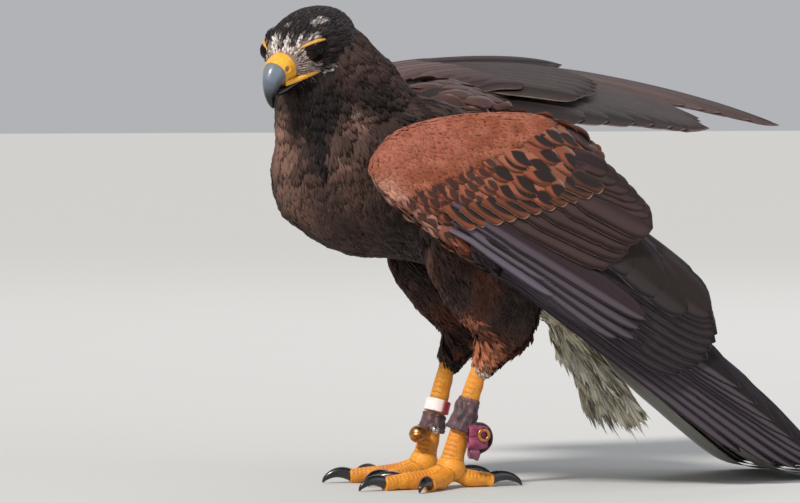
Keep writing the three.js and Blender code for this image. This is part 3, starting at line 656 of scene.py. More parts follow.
@dataclass(frozen=True)
class Sweep:
    """A rounded closed form swept through stations. "across" is the way of its half width."""

    stations: tuple[Station, ...]
    across: tuple[float, float, float] = (0.0, 1.0, 0.0)
    sides: int = 32
    steps: int = 40
    grow: float = 0.0
    frame: Matrix | None = None
    bend: Callable[[Array], Array] | None = None

    def points(self, relief: Relief | None = None) -> Array:
        """Design places of its rings.

        Args:
            relief: How far the surface stands out, from the share of the way and the angle round it.

        Returns:
            Places of shape (steps + 1, sides, 3).
        """
        shares = np.linspace(0, 1, self.steps + 1)
        path = curve(np.array([s.at for s in self.stations], float), shares)
        sizes = curve(np.array([(s.wide, s.deep) for s in self.stations], float), shares)
        way = unit(np.gradient(path, axis=0))
        deep = unit(np.cross(way, np.array(self.across)))
        wide = unit(np.cross(deep, way))
        angles = np.linspace(0, 2 * math.pi, self.sides, endpoint=False)
        sine, cosine = np.sin(angles)[None, :, None], np.cos(angles)[None, :, None]
        grown = np.maximum(sizes + self.grow, 0.05)
        ring = wide[:, None] * sine * grown[:, None, :1] + deep[:, None] * cosine * grown[:, None, 1:]
        if relief is not None:
            ring = ring + unit(ring) * relief(shares[:, None], angles[None, :])[..., None]
        found = path[:, None] + ring
        if self.bend is not None:
            found = self.bend(found)
        return found if self.frame is None else moved(self.frame, found)

    def build(self, bench: Bench, name: str, relief: Relief | None = None) -> bpy.types.Object:
        """Makes the closed form as an object."""
        rings = self.points(relief)
        steps, sides = rings.shape[:2]
        flat = np.vstack([rings.reshape(-1, 3), rings[0].mean(0), rings[-1].mean(0)])
        k, j = np.meshgrid(np.arange(steps - 1), np.arange(sides), indexing="ij")
        after = (j + 1) % sides
        quads = np.stack([k * sides + j, k * sides + after, (k + 1) * sides + after, (k + 1) * sides + j], -1)
        i = np.arange(sides)
        end = (steps - 1) * sides
        first = np.stack([(i + 1) % sides, i, np.full(sides, steps * sides)], -1)
        last = np.stack([end + i, end + (i + 1) % sides, np.full(sides, steps * sides + 1)], -1)
        piece = mesh_of(name, bench.metres(flat), [quads.reshape(-1, 4), np.vstack([first, last])])
        turn_out(piece)
        return piece


def turn_out(piece: bpy.types.Object) -> None:
    """Makes all faces of a closed piece point outwards."""
    choose(piece)
    bpy.ops.object.mode_set(mode="EDIT")
    bpy.ops.mesh.select_all(action="SELECT")
    bpy.ops.mesh.normals_make_consistent(inside=False)
    bpy.ops.object.mode_set(mode="OBJECT")


def stations(*rows: tuple[float, float, float, float, float]) -> tuple[Station, ...]:
    """Stations from rows of place, half width and half depth."""
    return tuple(Station(row[:3], row[3], row[4]) for row in rows)


def mirrored(form: tuple[Station, ...]) -> tuple[Station, ...]:
    """The same stations on the other side."""
    return tuple(Station((s.at[0], -s.at[1], s.at[2]), s.wide, s.deep) for s in form)


class Side(Enum):
    """A side of the bird, with the sign of its Y."""

    LEFT = -1
    RIGHT = 1

    @property
    def label(self) -> str:
        """The side's word in node names."""
        return self.name.lower()


# Places


@dataclass(frozen=True)
class HeadPlace:
    """The head's own frame, with its origin in the middle of the skull and its bill along -X."""

    at: tuple[float, float, float] = (-94.0, -12.0, 269.5)
    turn: float = 37.0
    nod: float = 20.0

    def matrix(self) -> Matrix:
        """The way from the head's frame to the design frame."""
        turned = Matrix.Rotation(math.radians(self.turn), 4, "Z")
        nodded = Matrix.Rotation(-math.radians(self.nod), 4, "Y")
        return Matrix.Translation(self.at) @ turned @ nodded

    def place(self, points: Array) -> Array:
        """Places of the head's frame in the design frame."""
        return moved(self.matrix(), points)

    def local(self, points: Array) -> Array:
        """Places of the design frame in the head's frame."""
        return moved(self.matrix().inverted(), points)


def moved(matrix: Matrix, points: Array) -> Array:
    """Points taken through a matrix."""
    full = np.array(matrix)
    return np.asarray(points, float) @ full[:3, :3].T + full[:3, 3]


HEAD = HeadPlace()
EYE_AT = (-10.5, 15.0, 3.0)
EYE_RADIUS = 6.9
EYE_TURN = 32.0


@dataclass(frozen=True)
class Bench:
    """Turns design places in millimetres into metres of the shared frame, and back."""

    shift: tuple[float, float, float]

    @classmethod
    def from_model(cls) -> Bench:
        """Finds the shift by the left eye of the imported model."""
        low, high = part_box("eye_left")
        found = (np.array(low) + np.array(high)) / 2 / MM
        designed = HEAD.place(np.array([[EYE_AT[0], -EYE_AT[1], EYE_AT[2]]]))[0]
        return cls(tuple(float(v) for v in found - designed))

    def metres(self, points: Array) -> Array:
        """Design places in metres of the shared frame."""
        return (np.asarray(points, float) + np.array(self.shift)) * MM

    def design(self, points: Array) -> Array:
        """Places of the shared frame as design places."""
        return np.asarray(points, float) / MM - np.array(self.shift)


@dataclass(frozen=True)
class Viewpoint:
    """The photograph's viewpoint, level with the bird's back and a little ahead of its left side."""

    target: tuple[float, float, float] = (-23.3, 8.5, 144.8)
    azimuth: float = 20.0
    elevation: float = 2.0
    away: float = 3000.0
    lens: float = 217.7
    sensor: float = 36.0
    frame: tuple[int, int] = (800, 503)

    def axes(self) -> tuple[Array, Array, Array]:
        """The picture's right, its up and the way back to the camera."""
        turn, rise = math.radians(self.azimuth), math.radians(self.elevation)
        right = np.array([math.cos(turn), -math.sin(turn), 0.0])
        back = np.array([-math.sin(turn) * math.cos(rise), -math.cos(turn) * math.cos(rise), math.sin(rise)])
        return right, np.cross(back, right), back

    def eye(self) -> Array:
        """The camera's place in the design frame."""
        return np.array(self.target) + self.axes()[2] * self.away

    def ray(self, across: float, down: float) -> Array:
        """The way from the camera through a place of the picture, in its pixels."""
        right, up, back = self.axes()
        share = self.sensor / self.lens / self.frame[0]
        aside = right * (across - self.frame[0] / 2) * share
        return unit(aside - up * (down - self.frame[1] / 2) * share - back)

    def make(self, bench: Bench) -> None:
        """Makes the scene's camera."""
        right, up, back = self.axes()
        data = bpy.data.cameras.new("camera")
        data.lens = self.lens
        data.sensor_width = self.sensor
        data.clip_end = 100.0
        camera = bpy.data.objects.new("camera", data)
        bpy.context.scene.collection.objects.link(camera)
        turned = Matrix(np.stack([right, up, back], 1).tolist()).to_4x4()
        camera.matrix_world = Matrix.Translation(bench.metres(self.eye())) @ turned
        bpy.context.scene.camera = camera


@dataclass(frozen=True)
class Lamp:
    """A soft square lamp: where it stands, in metres from the bird's middle, its width and its power."""

    name: str
    at: tuple[float, float, float]
    wide: float
    power: float
    colour: Colour = (1.0, 1.0, 1.0)


@dataclass(frozen=True)
class Studio:
    """Plain pale floor, even soft light from all round, a broad high sun and two large lamps."""

    lamps: tuple[Lamp, ...] = (
        Lamp("fill", (1.6, -2.6, 1.2), 2.2, 14.0, (0.94, 0.96, 1.0)),
        Lamp("rim", (1.4, 1.8, 2.2), 1.6, 14.0, (0.92, 0.94, 1.0)),
    )
    sun_from: tuple[float, float, float] = (-1.0, -0.7, 1.35)
    sun_power: float = 3.3
    sun_spread: float = 10.0
    sky: Colour = (0.88, 0.9, 0.94)
    glow: float = 0.5

    def make(self) -> None:
        """Builds floor, world and lamps."""
        bpy.ops.mesh.primitive_grid_add(x_subdivisions=4, y_subdivisions=4, size=40.0)
        floor = bpy.context.object
        floor.name = "floor"
        floor.data.materials.append(FloorFinish().make())
        world = bpy.data.worlds.new("world")
        world.use_nodes = True
        back = world.node_tree.nodes["Background"]
        back.inputs[0].default_value = (*self.sky, 1.0)
        back.inputs[1].default_value = self.glow
        bpy.context.scene.world = world
        bpy.context.scene.view_settings.view_transform = "Standard"
        data = bpy.data.lights.new("sun", "SUN")
        data.energy = self.sun_power
        data.angle = math.radians(self.sun_spread)
        data.color = (1.0, 0.96, 0.9)
        self._aim(data, self.sun_from)
        for lamp in self.lamps:
            self._hang(lamp)

    def _aim(self, data: bpy.types.Light, at: tuple[float, float, float]) -> None:
        """Sets a light at a place, turned to the bird's middle."""
        light = bpy.data.objects.new(data.name, data)
        bpy.context.scene.collection.objects.link(light)
        light.location = at
        way = Vector((0.0, 0.0, 0.15)) - Vector(at)
        light.rotation_euler = way.to_track_quat("-Z", "Y").to_euler()

    def _hang(self, lamp: Lamp) -> None:
        """Hangs one lamp."""
        data = bpy.data.lights.new(lamp.name, "AREA")
        data.energy = lamp.power
        data.size = lamp.wide
        data.color = lamp.colour
        self._aim(data, lamp.at)


# Wings' and tail's sheets


@dataclass(frozen=True)
class Sheet:
    """A gently arched sheet on which feathers lie, by its height over two of the axes."""

    upright: bool
    base: float
    first: float
    second: float
    high: float
    middle: float
    front: float
    back: float

    @property
    def normal(self) -> Array:
        """The way out of the sheet, which is up or to the bird's left."""
        raw = (self.first, -1.0, self.second) if self.upright else (-self.first, -self.second, 1.0)
        return unit(np.array(raw))

    def place(self, a: Array, b: Array, height: Array) -> Array:
        """Design places at coordinates along the sheet and heights over it."""
        level = self.base + self.first * a + self.second * b
        half = np.where(a < self.middle, self.front, self.back)
        raised = height + self.high * (1 - ((a - self.middle) / half) ** 2)
        flat = np.stack([a, level, b] if self.upright else [a, b, level], -1)
        return flat + self.normal * raised[..., None]


@dataclass(frozen=True)
class TailSheet:
    """A flat sheet that slopes down behind the body from "start" on."""

    start: float
    slope: float
    root: tuple[float, float] = (96.0, 101.0)

    @property
    def normal(self) -> Array:
        """The way up out of the sheet."""
        down = math.radians(self.slope)
        return np.array([math.sin(down), 0.0, math.cos(down)])

    def place(self, a: Array, b: Array, height: Array) -> Array:
        """Design places at coordinates along the sheet and heights over it."""
        down = math.radians(self.slope)
        level = self.root[1] + self.root[0] - self.start - a * math.sin(down)
        flat = np.stack([self.start + a * math.cos(down), b + 0 * a, level + 0 * b], -1)
        return flat + self.normal * (height + 0 * a)[..., None]


@dataclass(frozen=True)
class Vane:
    """One long feather: its root and tip on a sheet, and the shape of its web."""

    root: Array
    tip: Array
    height: float
    width: float
    lead: float
    tilt: float
    point: float
    leading: float
    bow: float
    rest: float
    splits: tuple[tuple[float, float, float], ...] = ()


FEATHER_REST = 1.2
REST_BEND = 6.0
ROOT_SINK = 5.0
ROOT_RUN = 24.0
COLUMNS = np.array([-1.0, -0.55, -0.07, 0.0, 0.07, 0.38, 0.7, 1.0])


def laid(z: Array, rest: float) -> Array:
    """Heights that bend softly until they run along the floor."""
    return rest + REST_BEND * np.log1p(np.exp((z - rest) / REST_BEND))


def vane_width(share: Array, point: float) -> Array:
    """The share of a web's width along it: narrow at the root, full in the middle and round at the tip."""
    rising = 0.45 + 0.55 * np.minimum(share / 0.4, 1)
    end = 0.12 + 0.3 * point
    falling = 1 - (1 - end) * (np.maximum(share - 0.4, 0) / 0.6) ** (3 + 7 * point)
    round_off = np.sqrt(np.clip(1 - (np.maximum(share - 0.93, 0) / 0.07) ** 2, 0.004, 1))
    return rising * falling * round_off


def web(sheet: Sheet | TailSheet, vane: Vane, steps: int) -> Array:
    """The middle surface of one long feather.

    Args:
        sheet: The sheet it lies on.
        vane: The feather.
        steps: How many spans it has along its shaft.

    Returns:
        Places of shape (steps + 1, columns, 3).
    """
    share = np.linspace(0, 1, steps + 1) ** 0.92
    run = vane.tip - vane.root
    reach = float(np.hypot(*run))
    side = np.array([-run[1], run[0]]) * vane.leading / reach
    notch = np.zeros((len(share), len(COLUMNS)))
    for at, deep, edge in vane.splits:
        dip = np.exp(-(((share - at) / 0.014) ** 2)) * deep
        notch[:, -1 if edge > 0 else 0] += dip
        notch[:, -2 if edge > 0 else 1] += dip * 0.4
    part = np.where(COLUMNS < 0, vane.lead, 1 - vane.lead)
    full = vane.width * vane_width(share, vane.point)[:, None]
    off = -COLUMNS * part * full * (1 - notch)
    bowed = (4 * share * (1 - share) * vane.bow * reach)[:, None]
    first = vane.root[0] + share[:, None] * run[0] + (off + bowed) * side[0]
    second = vane.root[1] + share[:, None] * run[1] + (off + bowed) * side[1]
    shaft = 0.45 * np.exp(-((COLUMNS / 0.06) ** 2)) * (1 - 0.6 * share[:, None])
    cup = 0.028 * full * (1 - COLUMNS**2) + shaft
    sunk = ROOT_SINK * ease(ROOT_RUN, 0.0, share * reach)[:, None]
    spots = sheet.place(first, second, vane.height + vane.tilt * off + cup - sunk)
    spots[..., 2] = laid(spots[..., 2], vane.rest)
    return spots


def lens_faces(rows: int, columns: int) -> tuple[Array, Array]:
    """A closed lens over a grid of points.

    Args:
        rows: Points along the grid.
        columns: Points across it.

    Returns:
        The faces, and the grid place of each of the underside's own points, which follow the grid's.
    """
    top = np.arange(rows * columns).reshape(rows, columns)
    inner = top[1:-1, 1:-1]
    under = top.copy()
    under[1:-1, 1:-1] = rows * columns + np.arange(inner.size).reshape(inner.shape)
    over = np.stack([top[:-1, :-1], top[:-1, 1:], top[1:, 1:], top[1:, :-1]], -1).reshape(-1, 4)
    below = np.stack([under[:-1, :-1], under[1:, :-1], under[1:, 1:], under[:-1, 1:]], -1).reshape(-1, 4)
    return np.vstack([over, below]), inner.ravel()


def lens_points(grid: Array, thick: float, inner: Array) -> Array:
    """Points of a closed lens around a middle surface."""
    across = np.gradient(grid, axis=1)
    along = np.gradient(grid, axis=0)
    normal = unit(np.cross(across, along))
    flat = grid.reshape(-1, 3)
    out = normal.reshape(-1, 3) * thick / 2
    raised = flat.copy()
    raised[inner] += out[inner]
    return np.vstack([raised, flat[inner] - out[inner]])


@dataclass(frozen=True)
class Row:
    """One row of long feathers, from the outermost inwards, with its colours."""

    name: str
    count: int
    span: tuple[float, float]
    lift: float
    width: float
    lead: float
    point: float
    roots: tuple[tuple[float, float], ...]
    tips: tuple[tuple[float, float], ...]
    look: Look
    tint: Colour
    bow: float = 0.0
    fringe: float = 1.0
    mark: float = 0.0
    steps: int = 26
    inner_tint: Colour | None = None


class Look(Enum):
    """Finishes of feathers."""

    # The lavender fringe of QUILL, laid along the outer web with outer=0.38, is mostly painted sheen on the near wing's
    # quills; it also draws their own pale rims. FAR, INNER and COVERT paint a little of the same sheen.
    QUILL = PlumeFinish("quill", shade("756b75"), shade("141012"), 900, 80, 0.1, 0.62, 0.0, 0.3, 0.0003, 0.98,
                        0.955, 0.1, 0.12, outer=0.38)
    FAR = PlumeFinish("far_quill", shade("927f7b"), shade("141012"), 900, 80, 0.1, 0.62, 0.0, 0.3, 0.0003, 0.95,
                      0.86, 0.14, 0.1, outer=0.08)
    INNER = PlumeFinish("inner_quill", shade("7c727c"), shade("141012"), 900, 80, 0.1, 0.62, 0.0, 0.3, 0.0003, 0.98,
                        0.95, 0.12, 0.12, outer=0.1)
    DOWN = PlumeFinish("down_web", shade("e6e1d8"), shade("8d8474"), 40, 14, 0.15, 0.8, 0.2, 0.25, 0.0003, 0.55,
                       0.85, 0.1, 0.1, 0.12)
    COVERT = PlumeFinish("covert", shade("8d7166"), shade("17110f"), 700, 90, 0.08, 0.6, 0.0, 0.3, 0.0003, 0.96,
                         0.95, 0.1, 0.12, outer=0.12)
    TAIL = PlumeFinish("tail_web", shade("d8d2cc"), shade("120f10"), 900, 80, 0.05, 0.6, 0.0, 0.3, 0.0003, 0.955,
                       0.93, 0.1, 0.12)
    SHOULDER = PlumeFinish("shoulder", shade("bd917a"), shade("2a2120"), 150, 40, 0.1, 0.6, 0.1, 0.2, 0.0002, 0.85,
                           0.9, 0.06, 0.12, 0.1)
    BODY = PlumeFinish("body_web", shade("54423d"), shade("0f0b0a"), 40, 14, 0.15, 0.6, 0.05, 0.25, 0.0003, 0.55,
                       0.85, 0.2, 0.12)



def stir(seed: int) -> np.random.Generator:
    """A seeded run of random numbers."""
    return np.random.default_rng(seed)


@dataclass
class Flock:
    """Collects closed feathers of one look into one piece."""

    bench: Bench
    name: str
    look: Look
    points: list[Array] = field(default_factory=list)
    faces: list[Array] = field(default_factory=list)
    tints: list[Array] = field(default_factory=list)
    patterns: list[Array] = field(default_factory=list)
    vanes: list[Array] = field(default_factory=list)
    bakes: list[Array] = field(default_factory=list)
    size: int = 0

    def add(self, points: Array, faces: Array, tint: Array, pattern: Array, vane: Array, bake: Array) -> None:
        """Adds points with their faces, colours and places on both maps."""
        self.points.append(points)
        self.faces.append(faces + self.size)
        self.tints.append(tint)
        self.patterns.append(pattern)
        self.vanes.append(vane)
        self.bakes.append(bake)
        self.size += len(points)

    def make(self, slot: str = "flight", *nodes: str) -> bpy.types.Object:
        """Makes the piece, which stands for the given nodes of the model."""
        groups = [np.vstack([f for f in self.faces if f.shape[1] == n]) for n in (3, 4) if self._has(n)]
        piece = mesh_of(self.name, self.bench.metres(np.vstack(self.points)), groups)
        colour_points(piece, "tint", np.vstack(self.tints))
        colour_points(piece, "pattern", np.vstack(self.patterns))
        map_corners(piece, BAKE_MAP, np.vstack(self.bakes))
        map_corners(piece, VANE_MAP, np.vstack(self.vanes))
        smooth(piece)
        dress(piece, plume_material(self.look), slot, *nodes)
        return piece

    def _has(self, corners: int) -> bool:
        """Whether some faces have that many corners."""
        return any(f.shape[1] == corners for f in self.faces)


MATERIALS: dict[str, bpy.types.Material] = {}


def plume_material(look: Look) -> bpy.types.Material:
    """The material of a feather look, made once."""
    if look.value.name not in MATERIALS:
        MATERIALS[look.value.name] = look.value.make()
    return MATERIALS[look.value.name]


def dress(piece: bpy.types.Object, material: bpy.types.Material, slot: str, *nodes: str) -> None:
    """Gives a piece its material, its body and the nodes it stands for."""
    piece.data.materials.clear()
    piece.data.materials.append(material)
    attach(piece, BODY)
    if nodes:
        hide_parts(*nodes)
    LOG.info("%s: %d faces", piece.name, len(piece.data.polygons))


def atlas(index: int, count: int, vane: Array) -> Array:
    """Places of one feather in its own cell of a square map."""
    side = math.ceil(math.sqrt(count))
    cell = 1 / side
    corner = np.array([index % side, index // side]) * cell
    return corner + (0.04 + 0.92 * vane) * cell


def vane_map(steps: int) -> Array:
    """Across and along of each grid point of a long feather."""
    share = np.linspace(0, 1, steps + 1) ** 0.92
    return np.stack([np.tile(0.5 + 0.5 * COLUMNS, len(share)), np.repeat(share, len(COLUMNS))], -1)


def random_splits(rng: np.random.Generator, count: int) -> tuple[tuple[float, float, float], ...]:
    """Places along a web where its barbs part: share, depth and edge."""
    return tuple(
        (float(rng.uniform(0.3, 0.95)), float(rng.uniform(0.02, 0.09)), float(rng.choice([-1.0, 1.0])))
        for _ in range(count)
    )


def add_web(flock: Flock, sheet: Sheet | TailSheet, vane: Vane, row: Row, index: int, total: int, luck: float) -> None:
    """Adds one long feather to a flock."""
    grid = web(sheet, vane, row.steps)
    faces, inner = lens_faces(row.steps + 1, len(COLUMNS))
    points = lens_points(grid, 0.34, inner)
    where = vane_map(row.steps)
    where = np.vstack([where, where[inner]])
    share = index / max(total - 1, 1)
    tint = np.array(row.tint)
    if row.inner_tint is not None:
        tint = tint * (1 - share) + np.array(row.inner_tint) * share
    tints = np.tile(tint, (len(points), 1))
    pattern = np.tile([row.mark, row.fringe, luck], (len(points), 1))
    flock.add(points, faces, tints, pattern, where, atlas(index, total, where))


@dataclass(frozen=True)
class Wing:
    """One wing: its sheet, its flesh and its rows of long feathers."""

    side: Side
    seed: int
    outward: float
    sheet: Sheet
    arm: tuple[tuple[float, float, float, float, float], ...]
    hand: tuple[tuple[float, float, float, float, float], ...]
    humerus: tuple[Station, ...]
    rows: tuple[Row, ...]
    rise: float = 19.0
    # Painted shade: a factor on every tint of the wing.
    darker: Colour = (1.0, 1.0, 1.0)

    def flesh(self, grow: float) -> dict[str, Sweep]:
        """The sweeps of its upper arm, arm and hand, made thicker by "grow"."""
        found = {"humerus": Sweep(self.humerus, (0.0, 0.0, 1.0), grow=grow)}
        for name, spots in (("arm", self.arm), ("hand", self.hand)):
            rows = np.array(spots)
            places = self.sheet.place(rows[:, 0], rows[:, 1], rows[:, 2])
            form = tuple(Station(tuple(p), r[3], r[4]) for p, r in zip(places, rows))
            run = places[-1] - places[0]
            across = tuple(unit(np.cross(self.sheet.normal, run)))
            found[name] = Sweep(form, across, grow=grow)
        return {f"{name}_{self.side.label}": sweep for name, sweep in found.items()}

    def make(self, bench: Bench) -> None:
        """Makes all rows."""
        for row in self.rows:
            rng = stir(self.seed + len(row.name))
            flock = Flock(bench, f"{row.name}_{self.side.label}", row.look)
            for i in range(row.count):
                add_web(flock, self.sheet, self._vane(row, i, rng), row, i, row.count, rng.uniform())
            # Painted shade multiplied into the tints.
            flock.tints = [tint * np.array(self.darker) for tint in flock.tints]
            flock.make("flight", f"wing_{self.side.label}")

    def _vane(self, row: Row, index: int, rng: np.random.Generator) -> Vane:
        """One feather of a row, a little different from its neighbours."""
        t = np.array([index / (row.count - 1)])
        share = float(row.span[0] + (row.span[1] - row.span[0]) * t[0])
        root = curve(np.array(row.roots, float), t)[0]
        tip = curve(np.array(row.tips, float), t)[0]
        longer = 1 + 0.016 * rng.uniform(-1, 1)
        return Vane(
            root=root,
            tip=root + (tip - root) * longer,
            height=row.lift + self.rise * (share - 0.5),
            width=row.width * (1 + 0.04 * rng.uniform(-1, 1)),
            lead=row.lead,
            tilt=0.07,
            point=row.point,
            leading=self.outward,
            bow=row.bow,
            rest=FEATHER_REST + self.rise * share,
            splits=random_splits(rng, 5 if row.steps > 30 else 2),
        )


QUILL_DARK = shade("211a1b")
QUILL_WARM = shade("29211c")
COVERT_DARK = shade("33272a")
COVERT_RUST = shade("7d4027")
# Dark slate of the near wing's hand feathers, lightened to lavender as painted sheen.
SHEEN_SLATE = shade("3d363d")
TAIL_DARK = shade("1d181a")

LEFT_WING = Wing(
    side=Side.LEFT,
    seed=11,
    outward=-1.0,
    sheet=Sheet(True, -134.7, 0.278, 0.365, 8.0, 90.0, 170.0, 170.0),
    arm=(
        (-76, 197, 0, 3, 3), (-71, 197, 0, 13, 7), (-56, 196, 1, 26, 9.5), (-28, 194, 2, 35, 11.5),
        (6, 193, 4, 38, 12), (38, 192, 7, 36, 12.5), (66, 186, 7, 27, 8), (80, 180, 7, 10, 4),
    ),
    hand=((-60, 186, 0, 12, 7), (-38, 172, -2, 13, 7), (-12, 154, -4.5, 12, 6.8), (10, 138, -8, 6, 4)),
    humerus=stations((-34, -16, 196, 18, 16), (-22, -40, 200, 20, 16), (4, -56, 202, 17, 13), (32, -58, 198, 9, 8)),
    rows=(
        Row("primaries", 10, (0, 0.44), 0, 27, 0.3, 0.3, ((2, 142), (-20, 160), (-44, 182)),
            ((172, 21), (210, 8), (232, 7), (219, 21), (195, 39), (172, 58)), Look.QUILL, QUILL_DARK, -0.015, steps=44),
        Row("secondaries", 10, (0.49, 0.88), 0, 34, 0.4, 0.6, ((-36, 182), (-6, 180), (30, 183)),
            ((126, 68), (146, 76), (155, 90), (149, 102)), Look.INNER, QUILL_DARK, 0.0, steps=36, inner_tint=QUILL_WARM),
        Row("tertials", 4, (0.91, 1), 0.2, 34, 0.45, 0.7, ((36, 184), (46, 188)),
            ((133, 104), (107, 121), (74, 146)), Look.INNER, QUILL_WARM, 0.0, steps=30),
        Row("primary_coverts", 6, (0.02, 0.42), 11.2, 19, 0.42, 0.5, ((-14, 158), (-44, 184)),
            ((50, 106), (74, 91), (92, 90), (100, 98)), Look.QUILL, SHEEN_SLATE, steps=30, inner_tint=COVERT_DARK),
        Row("greater_coverts", 7, (0.49, 0.95), 7, 29, 0.46, 0.75, ((-40, 184), (-8, 184), (36, 188)),
            ((60, 122), (80, 135), (96, 145), (108, 152)), Look.COVERT, COVERT_DARK),
        # The alula's lavender-grey tint is painted sheen over dark quills.
        Row("alula", 3, (0.1, 0.24), 13.4, 12, 0.4, 0.45, ((-34, 164), (-40, 178)),
            ((36, 116), (34, 124), (26, 136)), Look.QUILL, shade("5a525c"), steps=30, inner_tint=SHEEN_SLATE),
        Row("median_coverts", 11, (0.25, 0.72), 13.6, 15, 0.5, 0.85, ((-44, 186), (-20, 187), (16, 188), (38, 192)),
            ((-14, 158), (16, 163), (46, 169), (74, 177)), Look.SHOULDER, COVERT_RUST, mark=1.0, steps=24,
            inner_tint=shade("4a2c22")),
        Row("scapulars", 6, (0.9, 1), 8.4, 15, 0.5, 0.6, ((30, 190), (44, 200)),
            ((108, 160), (96, 173), (78, 187)), Look.COVERT, COVERT_DARK, steps=24),
    ),
)

RIGHT_WING = Wing(
    side=Side.RIGHT,
    seed=23,
    # The far wing is painted as a shaded, warmer copy of the near one.
    darker=(0.78, 0.66, 0.64),
    outward=1.0,
    sheet=Sheet(False, 231.0, -0.2165, 0.34, 9.0, 170.0, 88.0, 150.0),
    arm=(
        (-48, 122, 0, 3, 3), (-43, 119, 0, 12, 6.5), (-28, 110, 1, 24, 9), (-8, 96, 2, 33, 10.5),
        (12, 78, 4, 37, 11.5), (32, 60, 7, 36, 12), (52, 44, 7, 28, 8), (62, 36, 7, 10, 4),
    ),
    hand=((-30, 114, 0, 11, 6.5), (-4, 123, -1, 12, 7.5), (24, 131, -5, 11, 6.8), (50, 137, -8, 6, 4)),
    humerus=stations((-34, 16, 200, 18, 16), (-26, 38, 218, 20, 16), (-4, 58, 234, 17, 12), (16, 72, 244, 9, 8)),
    rows=(
        Row("primaries", 10, (0, 0.44), 0, 27, 0.3, 0.3, ((42, 136), (14, 129), (-16, 119)),
            ((258, 188), (298, 196), (319, 189), (298, 170), (254, 150), (224, 134)),
            Look.FAR, QUILL_DARK, 0.015, steps=44, inner_tint=shade("62504b")),
        Row("secondaries", 10, (0.49, 0.88), 0, 34, 0.4, 0.6, ((-10, 114), (10, 98), (34, 72)),
            ((212, 110), (210, 78), (196, 52), (168, 36)), Look.FAR, shade("40342f"), 0.0, steps=36,
            inner_tint=QUILL_WARM),
        Row("tertials", 4, (0.91, 1), 0.2, 34, 0.45, 0.7, ((36, 66), (44, 52)),
            ((150, 30), (126, 20), (98, 14)), Look.FAR, QUILL_DARK, 0.0, steps=30),
        Row("primary_coverts", 6, (0.02, 0.42), 9.6, 19, 0.42, 0.5, ((20, 130), (-12, 119)),
            ((130, 153), (136, 142), (124, 130)), Look.FAR, QUILL_DARK),
        Row("greater_coverts", 8, (0.49, 0.95), 7, 27, 0.46, 0.75, ((-12, 114), (8, 98), (36, 68)),
            ((128, 118), (138, 94), (126, 66), (104, 40)), Look.FAR, QUILL_WARM),
        Row("alula", 2, (0.1, 0.2), 14.4, 12, 0.4, 0.45, ((-26, 121), (-24, 113)),
            ((50, 133), (44, 123)), Look.FAR, QUILL_DARK),
        Row("median_coverts", 10, (0.25, 0.72), 13.6, 17, 0.5, 0.85, ((-26, 112), (-8, 98), (14, 79), (34, 58)),
            ((38, 122), (52, 104), (58, 82), (72, 54)), Look.FAR, shade("77625d"), steps=18,
            inner_tint=COVERT_DARK),
    ),
)


@dataclass(frozen=True)
class Fan:
    """One fan of tail feathers about the middle plane."""

    name: str
    count: int
    start: float
    length: float
    slope: float
    spread: float
    fan: float
    width: float
    step: float
    lift: float
    point: float
    look: Look
    tint: Colour
    fringe: float = 1.0
    steps: int = 22
    pale: float = 0.0


@dataclass(frozen=True)
class Tail:
    """The tail: fleshy root, long feathers with white tips, and the coverts over and under them."""

    base: tuple[Station, ...] = stations(
        (74, 0, 130, 26, 22), (91, 0, 110, 22, 17), (107, 0, 93, 18, 10), (119, 0, 82, 13, 4)
    )
    fans: tuple[Fan, ...] = (
        Fan("tail_quills", 12, 92, 214, 37.5, 22, 8, 33, -1.6, 0.0, 0.7, Look.TAIL, TAIL_DARK, steps=44, pale=0.5),
        Fan("tail_upper", 9, 86, 76, 37.5, 26, 11, 22, -0.7, 4.2, 0.9, Look.TAIL, shade("b9b0a6")),
        Fan("tail_under", 11, 84, 92, 56, 22, 15, 20, 0.8, -11.0, 0.95, Look.TAIL, shade("c4b99c")),
    )
    off_middle: float = 0.25
    layer: float = 1.6

    def make(self, bench: Bench) -> None:
        """Makes all fans."""
        for fan in self.fans:
            rng = stir(5 + len(fan.name))
            sheet = TailSheet(fan.start, fan.slope)
            flock = Flock(bench, fan.name, fan.look)
            row = Row(fan.name, fan.count, (0, 1), 0, fan.width, 0.5, fan.point, (), (), fan.look, fan.tint,
                      fringe=fan.fringe, steps=fan.steps)
            for i in range(fan.count):
                outer = abs(2 * i / (fan.count - 1) - 1) ** 6 * fan.pale
                tint = tuple(blended(np.array([fan.tint]), FLUFF_PALE, np.array([outer]))[0])
                add_web(flock, sheet, self._vane(fan, i, rng), replace(row, tint=tint), i, fan.count, rng.uniform())
            flock.make("flight", "tail")

    def _vane(self, fan: Fan, index: int, rng: np.random.Generator) -> Vane:
        """One feather of a fan. The middle is a little off, so that no two lie at one height."""
        share = 2 * index / (fan.count - 1) - 1
        rank = abs(index - (fan.count - 1) / 2 + self.off_middle)
        heading = math.radians(fan.fan) * share
        reach = fan.length * (1 - 0.05 * abs(share) + 0.01 * rng.uniform(-1, 1))
        root = np.array([0.0, share * fan.spread / 2])
        layer = self.layer * 12 / (fan.count + 1) if fan.count < 12 else self.layer
        return Vane(
            root=root,
            tip=root + reach * np.array([math.cos(heading), math.sin(heading)]),
            height=fan.lift + rank * fan.step,
            width=fan.width * (1 + 0.03 * rng.uniform(-1, 1)),
            lead=0.5 - 0.12 * abs(share),
            tilt=0.0,
            point=fan.point,
            leading=math.copysign(1.0, share) if share else 1.0,
            bow=0.0,
            rest=FEATHER_REST + (fan.count / 2 - rank) * layer,
            splits=random_splits(rng, 4),
        )


# Flesh


